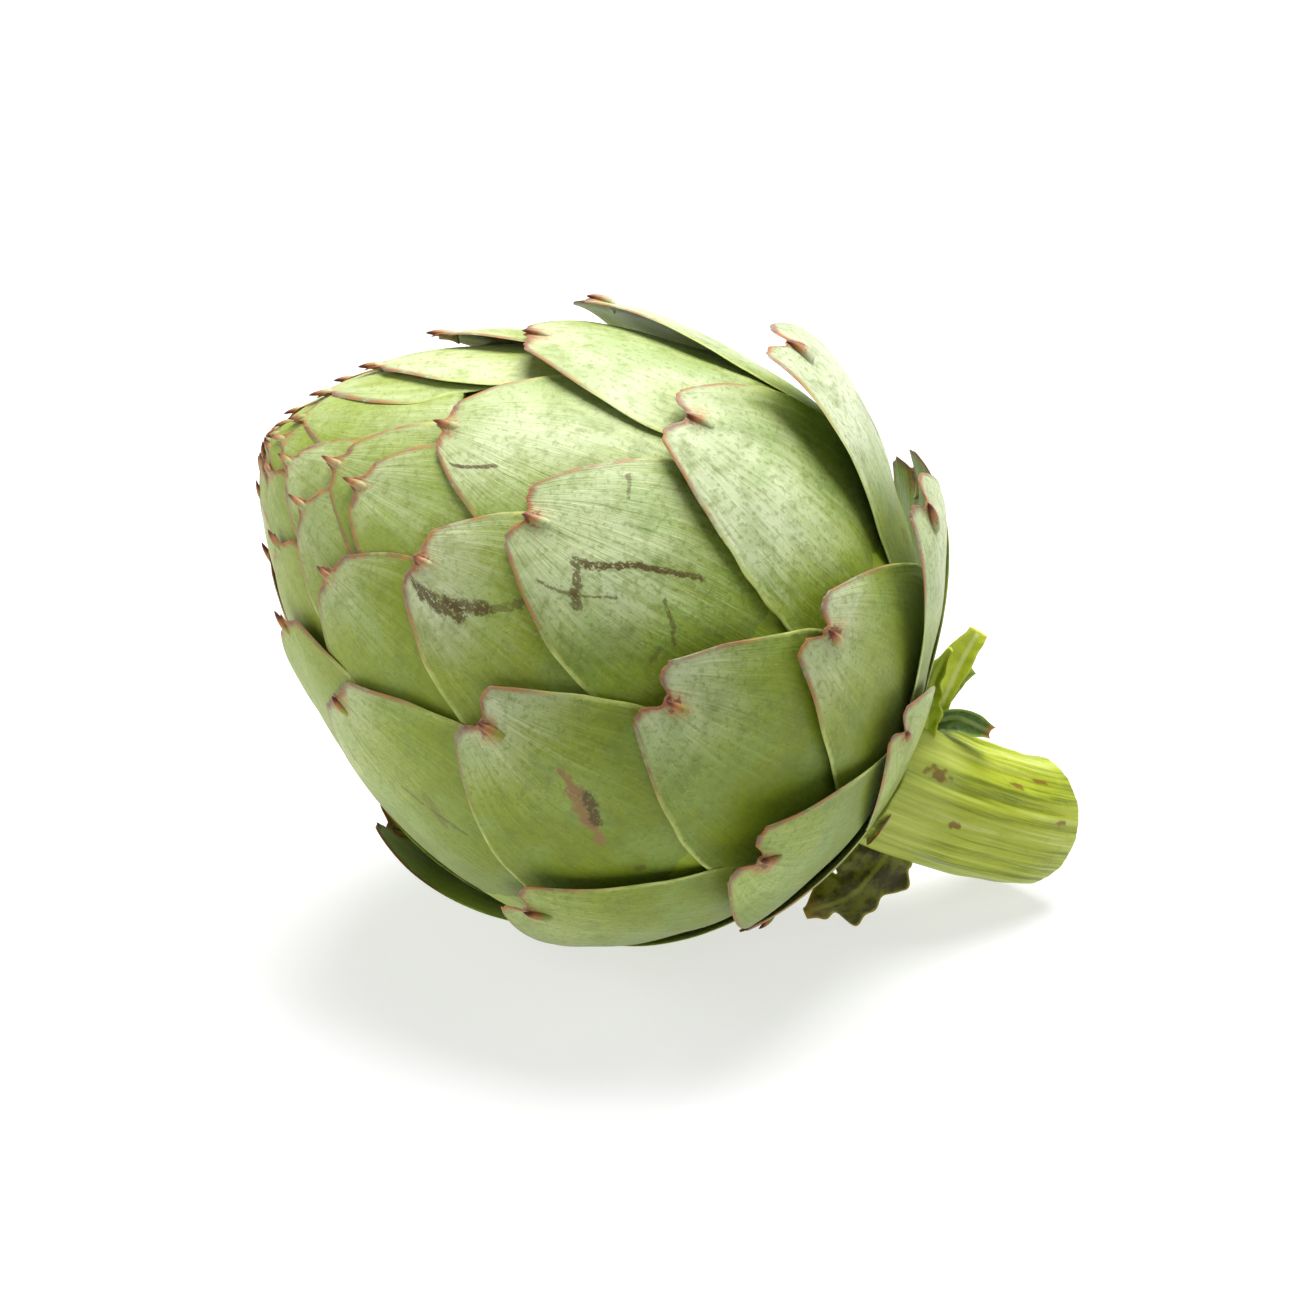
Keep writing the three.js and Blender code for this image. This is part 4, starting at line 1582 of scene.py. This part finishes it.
@dataclass
class Studio:
    """The pale floor, the soft lights and the camera.

    Attributes:
        azimuth: Of the camera, in degrees, from the front towards +X.
        elevation: Of the camera, in degrees.
        distance: From the camera to what it faces, in millimetres.
        field: Width of the picture at that distance, in millimetres.
        aim: What the camera faces: to the right, up and towards it, in millimetres.
        drop: How much lower than that it faces, in millimetres.
        surround: Strength of the light from all round.
        glow: Strength of the floor's own light, which keeps its shadows faint.
        centre: What the lamps face, in metres.
    """

    azimuth: float = 4.4
    elevation: float = 28.0
    distance: float = 750.0
    field: float = 205.7
    aim: tuple[float, float, float] = (3.16, 42.4, 23.3)
    drop: float = 1.4
    surround: float = 0.17
    glow: float = 0.64
    centre: tuple[float, float, float] = (0.0, 0.0, 0.05)

    def camera(self) -> bpy.types.Object:
        """Make the camera: a long lens that looks down at the head from the front.

        Returns:
            The camera, set as the scene's own.
        """
        a, e = math.radians(self.azimuth), math.radians(self.elevation)
        right = np.array([math.cos(a), math.sin(a), 0.0])
        up = np.array([-math.sin(a) * math.sin(e), math.cos(a) * math.sin(e), math.cos(e)])
        back = np.array([math.sin(a) * math.cos(e), -math.cos(a) * math.cos(e), math.sin(e)])
        target = right * self.aim[0] + up * self.aim[1] + back * self.aim[2]
        target = target - np.array([0.0, 0.0, self.drop])
        data = bpy.data.cameras.new("camera")
        data.sensor_width = 36.0
        data.lens = 36.0 * self.distance / self.field
        data.clip_start, data.clip_end = 0.05, 50.0
        camera = bpy.data.objects.new("camera", data)
        bpy.context.scene.collection.objects.link(camera)
        camera.location = Vector((target + back * self.distance) * MM)
        camera.rotation_mode = "QUATERNION"
        camera.rotation_quaternion = Vector(-back).to_track_quat("-Z", "Y")
        bpy.context.scene.camera = camera
        return camera

    def lamp(self, name: str, place: Sequence[float], size: float, power: float) -> None:
        """Hang one square soft light that faces the head.

        Args:
            name: The light's name.
            place: Where it hangs, in metres.
            size: Its side, in metres.
            power: In watts.
        """
        data = bpy.data.lights.new(name, "AREA")
        data.shape, data.size, data.energy = "SQUARE", size, power
        lamp = bpy.data.objects.new(name, data)
        bpy.context.scene.collection.objects.link(lamp)
        lamp.location = Vector(place)
        lamp.rotation_mode = "QUATERNION"
        lamp.rotation_quaternion = (Vector(self.centre) - Vector(place)).to_track_quat("-Z", "Y")

    def floor(self) -> bpy.types.Object:
        """Lay the floor: a flat pale grid, far larger than the object, that glows a little.

        Returns:
            The floor.
        """
        size = np.linspace(-3000.0, 3000.0, 9)
        x, y = np.meshgrid(size, size)
        parts = MeshParts()
        places = np.stack([x, y, np.zeros_like(x)], axis=-1).reshape(-1, 3)
        parts.add(places, grid_quads(9, 9), places[:, :2] * 0.01)
        floor = parts.fill("floor")
        finish = Finish("white_floor", 0.9)
        speck = finish.noise(finish.place(), 300.0, 2.0)
        shade = finish.blend(speck, (0.41, 0.41, 0.41, 1.0), (0.43, 0.43, 0.43, 1.0))
        finish.shader.inputs["Emission Color"].default_value = (1.0, 1.0, 1.0, 1.0)
        finish.shader.inputs["Emission Strength"].default_value = self.glow
        floor.data.materials.append(finish.done(shade))
        return floor

    def light(self) -> None:
        """Light the scene: a white surround and three soft lamps, the key above and behind the head."""
        world = bpy.data.worlds.new("surround")
        world.use_nodes = True
        background = next(n for n in world.node_tree.nodes if n.type == "BACKGROUND")
        background.inputs["Color"].default_value = (1.0, 1.0, 1.0, 1.0)
        background.inputs["Strength"].default_value = self.surround
        bpy.context.scene.world = world
        bpy.context.scene.view_settings.view_transform = "Standard"
        self.lamp("key", (0.10, 0.31, 0.90), 0.65, 18.0)
        self.lamp("fill", (-0.98, -0.12, 0.40), 0.6, 4.4)
        self.lamp("side", (0.85, -0.10, 0.45), 0.5, 0.9)


# Marks on single bracts, in millimetres across and down from the end of each.
SCARS: dict[int, tuple[Scar, ...]] = {
    14: (
        Scar((-0.7, 16.6), (2.7, 26.6), 0.6, 0.8),
        Scar((5.2, 19.6), (-1.1, 23.2), 0.5, 0.6),
        Scar((-12.6, 36.6), (-11.0, 38.0), 1.8, 0.5, 1.2),
    ),
    21: (
        Scar((6.1, 15.7), (3.6, 19.8), 0.8, 0.9, 1.4, True),
        Scar((3.6, 19.6), (0.2, 24.0), 1.9, 0.95, 1.6, True),
        Scar((0.2, 24.0), (-2.0, 27.6), 1.0, 0.9, 1.6, True),
        Scar((4.2, 21.4), (0.6, 25.0), 1.2, 0.95, 1.3),
        Scar((-4.6, 36.0), (-4.2, 36.4), 1.0, 0.6, 0.3),
    ),
    24: (
        Scar((-4.6, 10.6), (-12.0, 14.1), 1.0, 0.8, 1.3),
        Scar((-4.5, 12.0), (0.3, 19.8), 0.9, 0.95, 1.2),
        Scar((0.3, 19.8), (3.0, 28.9), 0.6, 0.95, 0.9),
        Scar((-15.1, 7.4), (-6.6, 18.8), 0.35, 0.7, 0.8),
        Scar((18.1, 12.4), (12.2, 13.9), 0.35, 0.7, 0.5),
        Scar((-2.8, 25.8), (-7.9, 29.9), 0.45, 0.7, 0.8),
        Scar((-10.0, 28.5), (-12.1, 27.9), 0.5, 0.5, 0.8),
    ),
    26: (
        Scar((-2.2, 17.1), (1.2, 29.3), 0.4, 0.55, 0.8),
        Scar((1.7, 20.3), (-1.2, 25.8), 1.0, 0.35, 1.2),
    ),
    29: (
        Scar((-10.6, 3.0), (-5.6, 9.6), 2.1, 0.9, 1.6),
        Scar((-5.2, 8.4), (-1.0, 13.4), 1.5, 0.85, 1.5),
        Scar((-2.0, 12.6), (3.0, 17.7), 0.9, 0.6, 1.2),
    ),
    32: (Scar((-15.5, 3.3), (-7.9, 9.9), 0.45, 0.9, 0.5),),
}
# The other bracts, gathered by how far out they are.
TIERS: tuple[tuple[str, tuple[int, ...]], ...] = (
    ("bracts_lowest", (0, 1, 2, 3, 4, 5, 6, 7)),
    ("bracts_low", (8, 9, 10, 11, 12, 13, 15, 16)),
    ("bracts_broad", (17, 18, 19, 20, 22, 23, 25)),
    ("bracts_upper", (27, 28, 30, 31, 33, 34, 35, 36, 37)),
    ("bracts_small", tuple(range(38, 57))),
    ("bracts_inmost", tuple(range(57, 76))),
)


def dress(piece: bpy.types.Object, material: bpy.types.Material, node: str) -> None:
    """Give a piece its material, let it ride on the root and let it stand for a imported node.

    Args:
        piece: The finished piece.
        material: Its finish.
        node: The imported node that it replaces.
    """
    piece.data.materials.append(material)
    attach(piece, "root")
    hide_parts(node)
    LOG.info("%s: %d faces", piece.name, len(piece.data.polygons))


def main() -> None:
    """Build the artichoke and its studio."""
    logging.basicConfig(level=logging.INFO)
    outline = HeadOutline()
    head = Head(outline, Spiral())
    skin = BractSkin()
    plain = skin.material("bract_skin")
    for name, indices in TIERS:
        dress(head.piece(name, indices), plain, "head")
    for index, scars in SCARS.items():
        marked = skin.material(f"bract_{index}_skin", scars)
        dress(head.piece(f"bract_{index}", (index,)), marked, "head")
    dress(head.bud(), plain, "head")
    dress(Stalk(outline).piece(), StalkSkin().material(), "stalk")
    for leaf in small_leaves():
        dress(leaf.piece(), LEAF_SKINS[leaf.kind].material(f"{leaf.kind.value}_skin"), leaf.kind.value)
    studio = Studio()
    studio.camera()
    studio.floor()
    studio.light()


if __name__ == "__main__":
    main()
